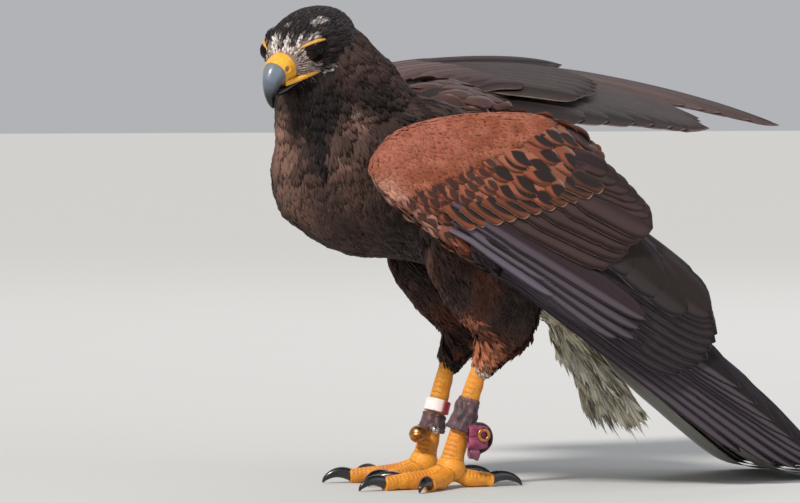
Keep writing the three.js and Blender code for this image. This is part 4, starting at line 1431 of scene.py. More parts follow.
@dataclass(frozen=True)
class Build:
    """The bird's fleshy forms, in the design frame unless told otherwise."""

    body: tuple[Station, ...] = stations(
        (-106.5, 0, 198, 5, 5), (-102.5, 0, 198, 18, 19), (-93, 0, 197, 33, 35), (-75, 0, 197, 47, 47),
        (-48, 0, 195, 54, 53), (-12, 0, 189, 56, 50), (24, 0, 175, 52, 47), (54, 0, 152, 41, 39),
        (76, 0, 129, 29, 27), (87, 0, 117, 16, 15),
    )
    neck: tuple[Station, ...] = stations(
        (-50, 0, 196, 48, 44), (-60, 0, 222, 44, 47), (-67, 0, 243, 39, 41), (-71, -1, 260, 33, 35),
        (-71, 0, 275, 23, 23), (-70, 2, 284, 13, 13), (-70, 2, 287, 4, 4),
    )
    skull: tuple[Station, ...] = stations(
        (40, 0, -3, 9, 8), (33, 0, -1, 19, 17), (19, 0, 0, 25, 22), (4, 0, 0, 26, 22),
        (-9, 0, -1, 22.5, 19.5), (-17, 0, -2.4, 16.5, 15), (-24, 0, -3.6, 10.8, 10.4),
    )
    brow: tuple[Station, ...] = stations(
        (-21, 7.6, 7.2, 1.8, 3), (-14, 11.2, 10.2, 2.2, 4.4), (-4, 15.8, 12.0, 2.6, 4.8), (8, 18.6, 9.4, 2.6, 4.4)
    )
    thigh: tuple[Station, ...] = stations(
        (12, -33, 178, 20, 28), (15, -35, 150, 22, 39), (24, -34, 121, 20, 32), (28, -32, 99, 14, 21),
        (22, -29.5, 84, 8.8, 12.5), (15.2, -27.6, 70, 6.8, 7.2),
    )

    def forms(self) -> dict[str, Sweep]:
        """All sweeps by name, made thinner by the depth of their coat."""
        coat = -2.2
        found = {
            "body": Sweep(self.body, grow=coat, steps=60, sides=48),
            "neck": Sweep(self.neck, grow=coat, sides=44),
            "head": Sweep(self.skull, grow=-1.4, sides=44, frame=HEAD.matrix()),
            "brow_left": Sweep(mirrored(self.brow), (0.0, 0.0, 1.0), sides=24, frame=HEAD.matrix()),
            "brow_right": Sweep(self.brow, (0.0, 0.0, 1.0), sides=24, frame=HEAD.matrix()),
            "thigh_left": Sweep(self.thigh, grow=coat, sides=36),
            "thigh_right": Sweep(mirrored(self.thigh), grow=coat, sides=36),
            "rump": Sweep(Tail().base, grow=-1.5),
        }
        for wing in (LEFT_WING, RIGHT_WING):
            found.update(wing.flesh(-1.6))
        return found


@dataclass(frozen=True)
class Comb:
    """A named place with the way that the coat lies there."""

    at: tuple[float, float, float]
    way: tuple[float, float, float]


@dataclass(frozen=True)
class Marking:
    """A paler or deeper place of the coat, by its place in the photograph, its radius and its strength. Some are real
    markings, others painted highlights and painted shadows.
    """

    spot: tuple[float, float]
    radius: float
    tint: Colour
    strength: float = 1.0


COMBS = (
    Comb((-104, 0, 200), (0.05, 0, -1)),
    Comb((-96, -20, 235), (0.0, -0.1, -1)),
    Comb((-60, -40, 235), (0.45, -0.1, -0.9)),
    Comb((-60, 40, 235), (0.45, 0.1, -0.9)),
    Comb((-35, 0, 262), (0.7, 0, -0.75)),
    Comb((-20, 0, 238), (1, 0, -0.3)),
    Comb((30, 0, 222), (1, 0, -0.45)),
    Comb((70, 0, 170), (0.8, 0, -0.7)),
    Comb((-90, 0, 150), (0.5, 0, -0.9)),
    Comb((-50, 0, 140), (0.8, 0, -0.6)),
    Comb((0, 0, 135), (0.8, 0, -0.6)),
    Comb((50, 0, 115), (0.75, 0, -0.65)),
    Comb((90, 0, 100), (0.75, 0, -0.65)),
    Comb((10, -60, 165), (0.35, 0, -1)),
    Comb((20, -55, 110), (0.25, 0, -1)),
    Comb((10, 60, 165), (0.35, 0, -1)),
    Comb((20, 55, 110), (0.25, 0, -1)),
    Comb((-20, -36, 120), (0.2, 0, -1)),
    Comb((60, -30, 120), (0.3, 0, -1)),
)

HEAD_COMBS = (
    Comb((-18, 0, 12), (0.7, 0, 0.75)),
    Comb((-8, 0, 20), (1, 0, 0.25)),
    Comb((10, 0, 22), (1, 0, -0.05)),
    Comb((35, 0, 10), (0.7, 0, -0.8)),
    Comb((10, 22, 6), (1, 0.05, -0.15)),
    Comb((10, -22, 6), (1, -0.05, -0.15)),
    Comb((-8, 16, -12), (1, 0.1, -0.45)),
    Comb((-8, -16, -12), (1, -0.1, -0.45)),
    Comb((0, 0, -22), (0.9, 0, -0.5)),
    Comb((25, 0, -20), (0.5, 0, -0.9)),
)


HEAD_FORMS = ("head", "brow_left", "brow_right")


@dataclass
class Roots:
    """Where small feathers stand: place, outward way, lie, place on the skin's map, and the form they grow on."""

    at: Array
    normal: Array
    lie: Array
    uv: Array
    form: Array

    def pick(self, kept: Array) -> Roots:
        """Only some of them."""
        return Roots(self.at[kept], self.normal[kept], self.lie[kept], self.uv[kept], self.form[kept])


def thinned(points: Array, spacing: Array) -> Array:
    """Numbers of the points that are kept so that none stands nearer to another than its spacing."""
    cell = float(spacing.max())
    grid: dict[tuple[int, int, int], list[int]] = {}
    kept = []
    keys = np.floor(points / cell).astype(int)
    for i, (x, y, z) in enumerate(keys):
        near = [
            j
            for dx in (-1, 0, 1)
            for dy in (-1, 0, 1)
            for dz in (-1, 0, 1)
            for j in grid.get((x + dx, y + dy, z + dz), ())
        ]
        if near and (np.linalg.norm(points[near] - points[i], axis=1) < spacing[i]).any():
            continue
        grid.setdefault((x, y, z), []).append(i)
        kept.append(i)
    return np.array(kept, int)


class Hide:
    """The skin under the coat: one closed surface, its map, and the forms that its places belong to."""

    def __init__(self, bench: Bench, view: Viewpoint) -> None:
        """Melts the fleshy forms into one skin."""
        self.bench = bench
        self.view = view
        forms = Build().forms()
        self.names = list(forms)
        self.clouds = [sweep.points().reshape(-1, 3) for sweep in forms.values()]
        pieces = [sweep.build(bench, name) for name, sweep in forms.items()]
        self.skin = join(pieces, "skin")
        fuse(self.skin, 2.0, 3)
        self._unwrap()
        self._read()

    def _unwrap(self) -> None:
        """Lays the skin's shape out on its bake map."""
        choose(self.skin)
        while self.skin.data.uv_layers:
            self.skin.data.uv_layers.remove(self.skin.data.uv_layers[0])
        self.skin.data.uv_layers.new(name=BAKE_MAP)
        bpy.ops.object.mode_set(mode="EDIT")
        bpy.ops.mesh.select_all(action="SELECT")
        bpy.ops.uv.smart_project(angle_limit=math.radians(66), island_margin=0.003)
        bpy.ops.object.mode_set(mode="OBJECT")

    def _read(self) -> None:
        """Reads the skin's triangles, map and forms into arrays, in design places."""
        mesh = self.skin.data
        mesh.calc_loop_triangles()
        count = len(mesh.loop_triangles)
        corners = np.empty(count * 3, np.int32)
        loops = np.empty(count * 3, np.int32)
        mesh.loop_triangles.foreach_get("vertices", corners)
        mesh.loop_triangles.foreach_get("loops", loops)
        layer = np.empty(len(mesh.loops) * 2, np.float32)
        mesh.uv_layers[BAKE_MAP].uv.foreach_get("vector", layer)
        normals = np.empty(len(mesh.vertices) * 3, np.float32)
        mesh.vertices.foreach_get("normal", normals)
        self.points = self.bench.design(points_of(self.skin))
        self.normals = normals.reshape(-1, 3).astype(float)
        self.triangles = corners.reshape(-1, 3)
        self.maps = layer.reshape(-1, 2)[loops.reshape(-1, 3)].astype(float)
        corner = self.points[self.triangles]
        self.areas = np.linalg.norm(np.cross(corner[:, 1] - corner[:, 0], corner[:, 2] - corner[:, 0]), axis=1) / 2
        self.tree = BVHTree.FromPolygons(self.points.tolist(), self.triangles.tolist())
        self.forms = self._nearest_form(corner.mean(1))

    def _nearest_form(self, places: Array) -> Array:
        """The number of the fleshy form that each place belongs to."""
        total = sum(len(c) for c in self.clouds)
        tree = KDTree(total)
        owner = np.concatenate([np.full(len(c), i) for i, c in enumerate(self.clouds)])
        for i, place in enumerate(np.vstack(self.clouds)):
            tree.insert(place, i)
        tree.balance()
        return np.array([owner[tree.find(p)[1]] for p in places])

    def near(self, places: Array) -> tuple[Array, Array]:
        """The nearest places of the skin, and the ways out of it there."""
        found = [self.tree.find_nearest(p) for p in places]
        return np.array([f[0] for f in found]), self._outward(found)

    def _outward(self, found: Sequence[tuple]) -> Array:
        """Smooth ways out of the skin at found places."""
        faces = self.triangles[[f[2] for f in found]]
        return unit(self.normals[faces].mean(1))

    def seen(self, spot: tuple[float, float]) -> Array | None:
        """The place of the skin behind a place of the photograph."""
        hit = self.tree.ray_cast(Vector(self.view.eye()), Vector(self.view.ray(*spot)))
        return None if hit[0] is None else np.array(hit[0])

    def lie_at(self, places: Array, normals: Array, head: Array) -> Array:
        """The way that the coat lies at places of the skin."""
        turn = HEAD.matrix().to_3x3()
        ways = np.zeros_like(places)
        for combs, mask, frame in ((COMBS, ~head, None), (HEAD_COMBS, head, turn)):
            spots = np.array([c.at for c in combs], float)
            runs = np.array([c.way for c in combs], float)
            if frame is not None:
                spots = HEAD.place(spots)
                runs = runs @ np.array(frame).T
            if mask.any():
                apart = np.linalg.norm(places[mask][:, None] - spots[None], axis=2)
                weight = 1 / (apart + 4.0) ** 3
                ways[mask] = (weight[..., None] * runs[None]).sum(1) / weight.sum(1)[:, None]
        return self.flattened(ways, normals)

    def flattened(self, ways: Array, normals: Array) -> Array:
        """Ways laid flat on the skin."""
        return unit(ways - normals * (ways * normals).sum(-1, keepdims=True))

    def scatter(self, forms: Sequence[str], spacing: float, seed: int, keep: Callable[[Array, Array], Array],
                pull: Array) -> Roots:
        """Stands feathers evenly over some forms.

        Args:
            forms: The forms' names.
            spacing: Least distance between feathers.
            seed: Start of the random numbers.
            keep: Says by place and outward way which places may carry a feather.
            pull: A way in which they stand further apart, as many times as it is long.

        Returns:
            The roots.
        """
        rng = stir(seed)
        wanted = np.isin(self.forms, [self.names.index(f) for f in forms])
        faces = np.flatnonzero(wanted)
        areas = self.areas[faces]
        count = int(areas.sum() / spacing**2 * 4.5)
        chosen = faces[rng.choice(len(faces), count, p=areas / areas.sum())]
        share = rng.random((count, 2))
        share = np.where(share.sum(1, keepdims=True) > 1, 1 - share, share)
        weight = np.column_stack([1 - share.sum(1), share])
        at = (self.points[self.triangles[chosen]] * weight[..., None]).sum(1)
        normal = unit((self.normals[self.triangles[chosen]] * weight[..., None]).sum(1))
        kept = np.flatnonzero(keep(at, normal))
        far = float(np.linalg.norm(pull))
        spots = at[kept] - np.outer(at[kept] @ pull, pull) * (1 - 1 / far) / far**2
        kept = kept[thinned(spots, np.full(len(kept), spacing))]
        uv = (self.maps[chosen[kept]] * weight[kept][..., None]).sum(1)
        form = self.forms[chosen[kept]]
        head = np.isin(form, [self.names.index(f) for f in HEAD_FORMS])
        lie = self.lie_at(at[kept], normal[kept], head)
        return Roots(at[kept], normal[kept], lie, uv, form)


# Coat


@dataclass(frozen=True)
class Model:
    """A small feather of unit length and width: points as share along, share across and rise, with their faces."""

    points: Array
    faces: Array
    luck: Array


def leaf_model(rows: int = 8, point: float = 0.9) -> Model:
    """A rounded closed leaf with a slight cup."""
    columns = np.array([-0.5, -0.25, 0.0, 0.25, 0.5])
    share = np.linspace(0, 1, rows + 1) ** 0.75
    wide = np.sin(np.pi * np.clip(share * 0.93 + 0.07, 0, 1) ** (1.0 + 0.7 * point)) ** 0.55
    wide = np.maximum(wide, 0.03)
    along = np.repeat(share, 5) - 0.05 * np.tile((columns / 0.5) ** 2, rows + 1)
    across = (wide[:, None] * columns).ravel()
    rise = np.tile(0.025 * (1 - (columns / 0.5) ** 2), rows + 1)
    faces, inner = lens_faces(rows + 1, 5)
    over = np.column_stack([along, across, rise])
    under = over[inner] - [0, 0, 0.025]
    points = np.vstack([over, under])
    return Model(points, faces, np.zeros(len(points)))


def brush_model(seed: int, blades: int, spread: float, ragged: float) -> Model:
    """A soft feather of narrow closed blades that part towards its end."""
    rng = stir(seed)
    points, faces, luck = [], [], []
    for i in range(blades):
        lean = (2 * i / (blades - 1) - 1) if blades > 1 else 0.0
        lean += rng.uniform(-0.12, 0.12)
        end = 1 - ragged * rng.random() - 0.22 * lean**2
        foot = 0.04 + 0.3 * abs(lean) * rng.random()
        rise = 0.06 * (1 - lean**2) + rng.uniform(-0.03, 0.03)
        half = 0.78 / blades
        rings = ((foot, 0.2 * lean, half * 0.9), ((foot + end) * 0.58, 0.38 * lean * spread, half * 1.25))
        for share, across, thick in rings:
            points += [
                (share, across - thick, rise),
                (share, across + thick, rise),
                (share, across, rise + thick * 0.55),
            ]
        points.append((end, 0.5 * lean * spread, rise * 0.6))
        start = i * 7
        a, b, c, d, e, f, tip = range(start, start + 7)
        faces += [(a, c, b), (a, b, e), (a, e, d), (b, c, f), (b, f, e), (c, a, d), (c, d, f)]
        faces += [(d, e, tip), (e, f, tip), (f, d, tip)]
        luck += [rng.uniform(-1, 1)] * 7
    return Model(np.array(points), np.array(faces), np.array(luck))


class Shape(Enum):
    """Kinds of small feathers: blades, how far they spread, and how uneven their ends are. A leaf has no blades."""

    LEAF = (0, 0.0, 0.0)
    BRUSH = (6, 1.0, 0.22)
    SOFT = (7, 1.25, 0.4)
    STREAK = (4, 0.6, 0.3)
    HAIR = (3, 0.4, 0.5)

    def models(self) -> list[Model]:
        """A few models of this kind."""
        blades, spread, ragged = self.value
        if not blades:
            return [leaf_model(point=p) for p in (0.8, 1.0)]
        return [brush_model(20 * blades + s, blades, spread, ragged) for s in range(6)]


@dataclass
class Runs:
    """Small feathers, one row for each: where they run, their ways and widths, colours and places on the map."""

    start: Array
    bend: Array
    end: Array
    side: Array
    up: Array
    end_up: Array
    width: Array
    tint: Array
    pattern: Array
    uv: Array


def plant(flock: Flock, shape: Shape, rng: np.random.Generator, runs: Runs) -> None:
    """Adds a small feather to a flock for each of the runs."""
    models = shape.models()
    choice = rng.integers(0, len(models), len(runs.start))
    for number, model in enumerate(models):
        own = np.flatnonzero(choice == number)
        if not len(own):
            continue
        v = model.points[:, 0][None, :, None]
        wide = runs.width[own][:, None, None]
        start, bend, end = (spots[own][:, None] for spots in (runs.start, runs.bend, runs.end))
        path = start * (1 - v) ** 2 + bend * 2 * v * (1 - v) + end * v**2
        up = unit(runs.up[own][:, None] * (1 - v) + runs.end_up[own][:, None] * v)
        across, rise = (model.points[:, i][None, :, None] * wide for i in (1, 2))
        places = path + runs.side[own][:, None] * across + up * rise
        size = len(model.points)
        faces = (model.faces[None] + (np.arange(len(own)) * size)[:, None, None]).reshape(-1, model.faces.shape[1])
        shaded = np.clip(runs.tint[own][:, None] * (1 + 0.13 * model.luck[None, :, None]), 0, 1)
        where = np.column_stack([np.clip(model.points[:, 1] + 0.5, 0, 1), np.clip(model.points[:, 0], 0, 1)])
        bake = runs.uv[own][:, None] + ((where - 0.5) * BAKE_PATCH)[None]
        flock.add(places.reshape(-1, 3), faces, shaded.reshape(-1, 3), np.repeat(runs.pattern[own], size, axis=0),
                  np.tile(where, (len(own), 1)), bake.reshape(-1, 2))


Painter = Callable[[Roots, np.random.Generator], Array]


@dataclass
class Coat:
    """One piece of the coat: where its feathers stand and what they are like. Sizes are in millimetres."""

    name: str
    forms: tuple[str, ...]
    spacing: float
    length: float
    width: float
    lift: float
    shape: Shape
    look: Look
    seed: int
    keep: Callable[[Array, Array], Array]
    paint: Painter
    mark: Callable[[Roots], Array] | None = None
    fringe: Callable[[Roots], Array] | None = None
    longer: Callable[[Roots], Array] | None = None
    lie: Callable[[Roots], Array] | None = None
    vary: float = 0.16
    sink: float = 0.6
    pull: tuple[float, float, float] = (1.0, 0.0, 0.0)

    def make(self, hide: Hide, *nodes: str) -> bpy.types.Object:
        """Plants the feathers on the skin."""
        rng = stir(self.seed)
        roots = hide.scatter(self.forms, self.spacing, self.seed, self.keep, np.array(self.pull))
        if self.lie is not None:
            roots.lie = hide.flattened(self.lie(roots), roots.normal)
        count = len(roots.at)
        swing = rng.normal(0, 0.13, count)[:, None]
        side = np.cross(roots.normal, roots.lie)
        way = unit(roots.lie * np.cos(swing) + side * np.sin(swing))
        side = np.cross(roots.normal, way)
        grown = np.ones(count) if self.longer is None else self.longer(roots)
        length = self.length * grown * (1 + self.vary * rng.uniform(-1, 1, count))
        width = self.width * (1 + self.vary * rng.uniform(-1, 1, count)) * np.sqrt(np.clip(grown, 0.4, 1.6))
        lift = self.lift * (1 + 0.3 * rng.uniform(-1, 1, count))
        tint = self.paint(roots, rng)
        mark = np.zeros(count) if self.mark is None else self.mark(roots)
        fringe = np.full(count, 0.35) if self.fringe is None else self.fringe(roots)
        luck = rng.random(count)
        start = roots.at - roots.normal * self.sink
        end, end_up = hide.near(start + way * length[:, None])
        end = end + end_up * lift[:, None]
        middle, middle_up = hide.near(start + way * length[:, None] * 0.5)
        middle = middle + middle_up * (lift * 0.75)[:, None]
        bend = 2 * middle - (start + end) / 2
        flock = Flock(hide.bench, self.name, self.look)
        pattern = np.column_stack([mark, fringe, luck])
        plant(flock, self.shape, rng, Runs(start, bend, end, side, roots.normal, end_up, width, tint, pattern, roots.uv))
        return flock.make("plumage", *nodes)


@dataclass(frozen=True)
class Veil:
    """Soft pale strands that lie loosely over and under the fan of undertail feathers."""

    count: int = 340
    start: float = 84.0
    slope: float = 56.0
    level: float = -11.0
    spread: float = 15.0

    def make(self, bench: Bench) -> None:
        """Plants the strands."""
        rng = stir(71)
        sheet = TailSheet(self.start, self.slope)
        share = rng.uniform(-1, 1, self.count)
        along = rng.uniform(2, 64, self.count)
        heading = np.radians(self.spread) * share + rng.normal(0, 0.08, self.count)
        reach = rng.uniform(24, 42, self.count)
        off = share * self.spread * 0.75 + along * np.sin(heading)
        level = self.level + rng.normal(0, 2.4, self.count)
        loose = level + rng.normal(0, 3.0, self.count)
        start = sheet.place(along, off, level)
        end = sheet.place(along + reach * np.cos(heading), off + reach * np.sin(heading), loose)
        way = unit(end - start)
        facing = unit(rng.normal(0, 1, (self.count, 3)))
        side = unit(np.cross(facing, way))
        up = np.cross(way, side)
        bend = (start + end) / 2 + up * rng.uniform(-3, 3, (self.count, 1))
        pale = rng.random(self.count) ** 1.5
        tint = blended(np.tile(np.array(FLUFF), (self.count, 1)), FLUFF_PALE, pale)
        pattern = np.column_stack([np.zeros(self.count), np.full(self.count, 0.2), rng.random(self.count)])
        uv = np.column_stack([0.05 + along / 80, 0.5 + share * 0.42])
        width = rng.uniform(5, 9, self.count)
        flock = Flock(bench, "undertail_strands", Look.DOWN)
        plant(flock, Shape.SOFT, rng, Runs(start, bend, end, side, up, up, width, tint, pattern, uv))
        flock.make("flight", "tail")


def clouds(places: Array, scale: tuple[float, float, float], seed: int = 0) -> Array:
    """Soft noise from 0 to 1 at design places, stretched by a scale for each axis."""
    shift = Vector((seed * 7.3, seed * 3.1, seed * 5.7))
    size = np.array(scale)
    return np.array([0.5 + 0.5 * noise.noise(Vector(p) + shift) for p in places * size])


def blended(first: Array, second: Sequence[float], share: Array) -> Array:
    """Colours between two, by a share for each."""
    part = np.clip(share, 0, 1)[:, None]
    return first * (1 - part) + np.array(second) * part


BLACK_BROWN = shade("261b18")
SOFT_BROWN = shade("54403a")
# Painted highlight colour of the lit breast and neck.
PINK_HIGHLIGHT = shade("8a685c")
# Painted shadow colour under the chin and on the nape.
PAINTED_SHADOW = shade("0e0a0a")
OLIVE = shade("4a3d2e")
HEAD_DARK = shade("211a1c")
HEAD_LIT = shade("4a3b3c")
WHITE = shade("e9e2da")
# The lores' own grey-pink, also used for a painted highlight on the neck.
GREY_PINK = shade("bda9a1")
RUST = shade("8a4830")
RUST_LIT = shade("a8664f")
# Rufous of the shin, brightened as painted light.
LIT_SHIN_RUFOUS = shade("c67c58")
# Painted highlight colours of the near shoulder and wrist.
PALE_PINK_HIGHLIGHT = shade("cb9886")
ROSE_HIGHLIGHT = shade("b56d5c")
FLUFF = shade("d2c9ae")
FLUFF_PALE = shade("f8f4e6")

CROWN_MARKS = (
    Marking((303, 45), 1.6, WHITE, 0.8), Marking((308, 42), 1.6, WHITE, 0.9), Marking((314, 39), 1.6, WHITE, 0.9),
    Marking((312, 27), 1.5, WHITE), Marking((314, 24), 1.4, WHITE), Marking((317, 21), 1.3, WHITE),
    Marking((319, 24), 1.2, WHITE), Marking((323, 23), 1.1, WHITE, 0.9),
    Marking((286, 28), 1.2, WHITE, 0.9), Marking((271, 31), 1.2, WHITE, 0.9),
    Marking((322, 72), 2.6, WHITE, 0.8), Marking((330, 71), 2.6, WHITE, 0.7), Marking((337, 69), 2.0, GREY_PINK, 0.5),
    Marking((345, 60), 5.0, HEAD_LIT, 0.8), Marking((350, 35), 6.0, HEAD_LIT, 0.5),
)
# Painted light and shade on breast and neck: pink-brown highlights on the lit left breast and the neck's side, a
# grey-pink highlight, a dark V of painted shadow under the chin, and painted shadow of the head on the nape.
BODY_LIGHT_AND_SHADE = (
    Marking((281, 116), 8.0, PINK_HIGHLIGHT, 0.8), Marking((281, 132), 11.0, PINK_HIGHLIGHT, 0.75),
    Marking((284, 154), 13.0, PINK_HIGHLIGHT, 0.75), Marking((290, 182), 15.0, PINK_HIGHLIGHT, 0.7),
    Marking((300, 205), 12.0, PINK_HIGHLIGHT, 0.5), Marking((352, 112), 8.0, PINK_HIGHLIGHT, 0.6),
    Marking((340, 150), 9.0, PINK_HIGHLIGHT, 0.5), Marking((345, 180), 12.0, PINK_HIGHLIGHT, 0.4),
    Marking((350, 104), 1.8, GREY_PINK, 0.7),
    Marking((322, 90), 11.0, PAINTED_SHADOW, 2.0), Marking((318, 102), 9.0, PAINTED_SHADOW, 2.0), Marking((315, 114), 7.5, PAINTED_SHADOW, 2.0),
    Marking((317, 126), 6.0, PAINTED_SHADOW, 2.0), Marking((319, 137), 4.5, PAINTED_SHADOW, 2.0), Marking((320, 147), 3.4, PAINTED_SHADOW, 1.8),
    Marking((321, 156), 2.6, PAINTED_SHADOW, 1.6), Marking((362, 84), 9.0, PAINTED_SHADOW, 0.8), Marking((378, 92), 10.0, PAINTED_SHADOW, 0.7),
)
# Thigh: the shin's rufous wedge, brightened as painted light on its lit front edge; the pale tuft and the rusty rear
# feathers are their own colours.
THIGH_MARKS_AND_LIGHT = (
    Marking((466, 308), 4.5, LIT_SHIN_RUFOUS, 1.3), Marking((471, 318), 5.5, LIT_SHIN_RUFOUS, 1.8), Marking((476, 329), 6.5, LIT_SHIN_RUFOUS, 1.8),
    Marking((479, 340), 7.0, LIT_SHIN_RUFOUS, 1.8), Marking((480, 352), 7.5, LIT_SHIN_RUFOUS, 1.8), Marking((474, 368), 4.5, FLUFF_PALE, 1.6),
    Marking((507, 372), 6.0, RUST, 0.9), Marking((516, 362), 5.0, RUST, 0.8),
)
# Painted highlights on the near wing: pale pink along the leading edge to the wrist, rose on the lit top of the
# shoulder.
WING_HIGHLIGHTS = (
    Marking((379, 186), 8.0, PALE_PINK_HIGHLIGHT, 0.9), Marking((390, 198), 8.0, PALE_PINK_HIGHLIGHT, 0.9), Marking((406, 210), 8.0, PALE_PINK_HIGHLIGHT, 0.9),
    Marking((424, 220), 7.0, PALE_PINK_HIGHLIGHT, 0.8), Marking((412, 136), 14.0, ROSE_HIGHLIGHT, 0.6), Marking((440, 128), 16.0, ROSE_HIGHLIGHT, 0.6),
    Marking((388, 156), 10.0, ROSE_HIGHLIGHT, 0.6),
)


@dataclass
class Plumage:
    """The whole coat of small feathers."""

    hide: Hide

    def make(self) -> None:
        """Plants every piece of the coat."""
        self._dress_skin()
        for coat in self._body() + self._head() + self._wings():
            coat.make(self.hide)

    def _marked(self, at: Array, tint: Array, marks: Sequence[Marking]) -> Array:
        """Colours with spots laid over them at places of the photograph, uneven from feather to feather: real markings,
        and painted highlights and shadows.
        """
        uneven = 1.0 - 0.45 * stir(31).random(len(at))
        for mark in marks:
            centre = self.hide.seen(mark.spot)
            if centre is not None:
                apart = np.linalg.norm(at - centre, axis=1) / mark.radius
                tint = blended(tint, mark.tint, mark.strength * np.exp(-(apart**2)) * uneven)
        return tint

    def _dress_skin(self) -> None:
        """Colours the skin and sets it in place of the model's fleshy nodes."""
        hide = self.hide
        local = HEAD.local(hide.points)
        tint = np.tile(np.array(shade("1c1513")), (len(local), 1))
        owner = np.zeros(len(local), int)
        owner[hide.triangles.ravel()] = np.repeat(hide.forms, 3)
        # The far arm's skin takes the dark covert colour, matching the painted shade of the far shoulder.
        for name, colour in (("arm_left", RUST_LIT), ("humerus_left", RUST_LIT), ("arm_right", COVERT_DARK)):
            tint[owner == hide.names.index(name)] = colour
        face = ease(-9.0, -14.0, local[:, 0]) * (np.abs(local[:, 2] + 2) < 14) * (np.abs(local[:, 1]) < 24)
        tint = blended(tint, shade("a58c84"), face)
        colour_points(hide.skin, "tint", tint)
        dress(hide.skin, SkinFinish().make(), "plumage", "head", "neck", "torso", "thigh_left", "thigh_right")

    # Body

    def _body_tint(self, roots: Roots, rng: np.random.Generator) -> Array:
        """Dark brown with softer lights in streaks down the breast, under painted highlights on the lit breast and
        painted shadows under the chin and on the nape.
        """
        streak = clouds(roots.at, (0.16, 0.16, 0.03), 1)
        spread = clouds(roots.at, (0.05, 0.05, 0.05), 2)
        tint = np.tile(np.array(BLACK_BROWN), (len(roots.at), 1))
        tint = blended(tint, SOFT_BROWN, ease(0.4, 0.8, streak) * 0.6 + ease(0.4, 0.8, spread) * 0.3)
        tint = self._marked(roots.at, tint, BODY_LIGHT_AND_SHADE)
        return tint * (0.9 + 0.22 * rng.random((len(tint), 1)))

    def _thigh_tint(self, roots: Roots, rng: np.random.Generator) -> Array:
        """Dark brown with rusty lights and a bright wedge down the shin: rufous feathers brightened as painted light
        where the shin is lit.
        """
        tint = self._body_tint(roots, rng)
        low = ease(112, 78, roots.at[:, 2])
        tint = blended(tint, RUST, low * (clouds(roots.at, (0.2, 0.2, 0.06), 3) > 0.52) * 0.8)
        tint = blended(tint, RUST, ease(0.35, 0.75, clouds(roots.at, (0.06, 0.06, 0.03), 10)) * 0.3)
        return self._marked(roots.at, tint, THIGH_MARKS_AND_LIGHT)

    def _fluff_tint(self, roots: Roots, rng: np.random.Generator) -> Array:
        """Grey-olive and whitish down under the tail."""
        under = ease(0.1, -0.5, roots.normal[:, 2])
        behind = ease(80, 100, roots.at[:, 0] + 48 * under)
        tint = blended(np.tile(np.array(SOFT_BROWN), (len(behind), 1)), FLUFF, behind)
        return blended(tint, FLUFF_PALE, rng.random(len(behind)) ** 2 * behind)

    def _back_tint(self, roots: Roots, rng: np.random.Generator) -> Array:
        """Dark brown, and whitish on the rump."""
        return blended(self._body_tint(roots, rng), FLUFF, ease(88, 100, roots.at[:, 0]))

    def _neck_tint(self, roots: Roots, rng: np.random.Generator) -> Array:
        """Dark brown, mottled on the sides and olive at the throat, with the painted highlights and shadows of breast
        and neck laid on once more.
        """
        tint = self._body_tint(roots, rng)
        side = ease(0.5, 0.7, clouds(roots.at, (0.12, 0.12, 0.12), 4))
        tint = blended(tint, SOFT_BROWN, side * 0.4)
        throat = ease(-88, -100, roots.at[:, 0]) * ease(225, 245, roots.at[:, 2])
        tint = blended(tint, OLIVE, throat * 0.3 * rng.random(len(tint)))
        return self._marked(roots.at, tint, BODY_LIGHT_AND_SHADE)

    def _body(self) -> list[Coat]:
        """Breast, back, neck, thighs and the down under the tail."""

        def behind(at: Array, normal: Array) -> Array:
            start = 38 + 40 * ease(-0.5, 0.1, normal[:, 2])
            return (at[:, 0] > start) & (normal[:, 2] < 0.35)

        def above(at: Array, normal: Array) -> Array:
            return (normal[:, 2] > 0.3) & (at[:, 0] > -55)

        def front(at: Array, normal: Array) -> Array:
            return ~behind(at, normal) & ~above(at, normal)

        def fringe_length(roots: Roots) -> Array:
            hind = ease(20, 50, roots.at[:, 0]) * ease(150, 110, roots.at[:, 2])
            shin = ease(100, 75, roots.at[:, 2])
            return 1 + 0.9 * hind - 0.3 * shin

        body = ("body",)
        return [
            Coat("breast", body, 3.9, 25, 10.5, 1.1, Shape.BRUSH, Look.BODY, 101, front, self._body_tint),
            Coat("back", ("body", "rump"), 4.2, 26, 12, 1.0, Shape.BRUSH, Look.BODY, 102, above, self._back_tint,
                 fringe=lambda r: np.full(len(r.at), 0.2)),
            Coat("neck_coat", ("neck",), 2.8, 17, 7.5, 0.9, Shape.BRUSH, Look.BODY, 103,
                 lambda at, n: at[:, 2] > 190, self._neck_tint, fringe=lambda r: np.full(len(r.at), 0.12)),
            Coat("thigh_coat", ("thigh_left", "thigh_right"), 3.0, 22, 7.5, 1.0, Shape.SOFT, Look.BODY, 104,
                 lambda at, n: at[:, 2] < 190, self._thigh_tint, longer=fringe_length),
            Coat("down", ("body", "rump"), 3.3, 34, 7.0, 3.0, Shape.SOFT, Look.DOWN, 105, behind, self._fluff_tint,
                 vary=0.3),
        ]

    # Head

    def _bare(self, at: Array) -> Array:
        """Which places of the head are bare: eyes, base of the bill and gape."""
        local = HEAD.local(at)
        eye = np.array([EYE_AT[0], EYE_AT[1], EYE_AT[2]])
        folded = np.column_stack([local[:, 0], np.abs(local[:, 1]), local[:, 2]])
        apart = np.linalg.norm(folded - eye, axis=1)
        gape = np.linalg.norm((folded - np.array([-14, 13.5, -9.8])) * [0.28, 0.28, 1], axis=1)
        cere = (local[:, 0] < -23.5) & (local[:, 2] < 5.0) | (local[:, 0] < -25.0)
        ridge = polyline_apart(folded, BROW)
        return (apart < 8.0) | cere | (gape < 1.8) | (ridge < 1.5)

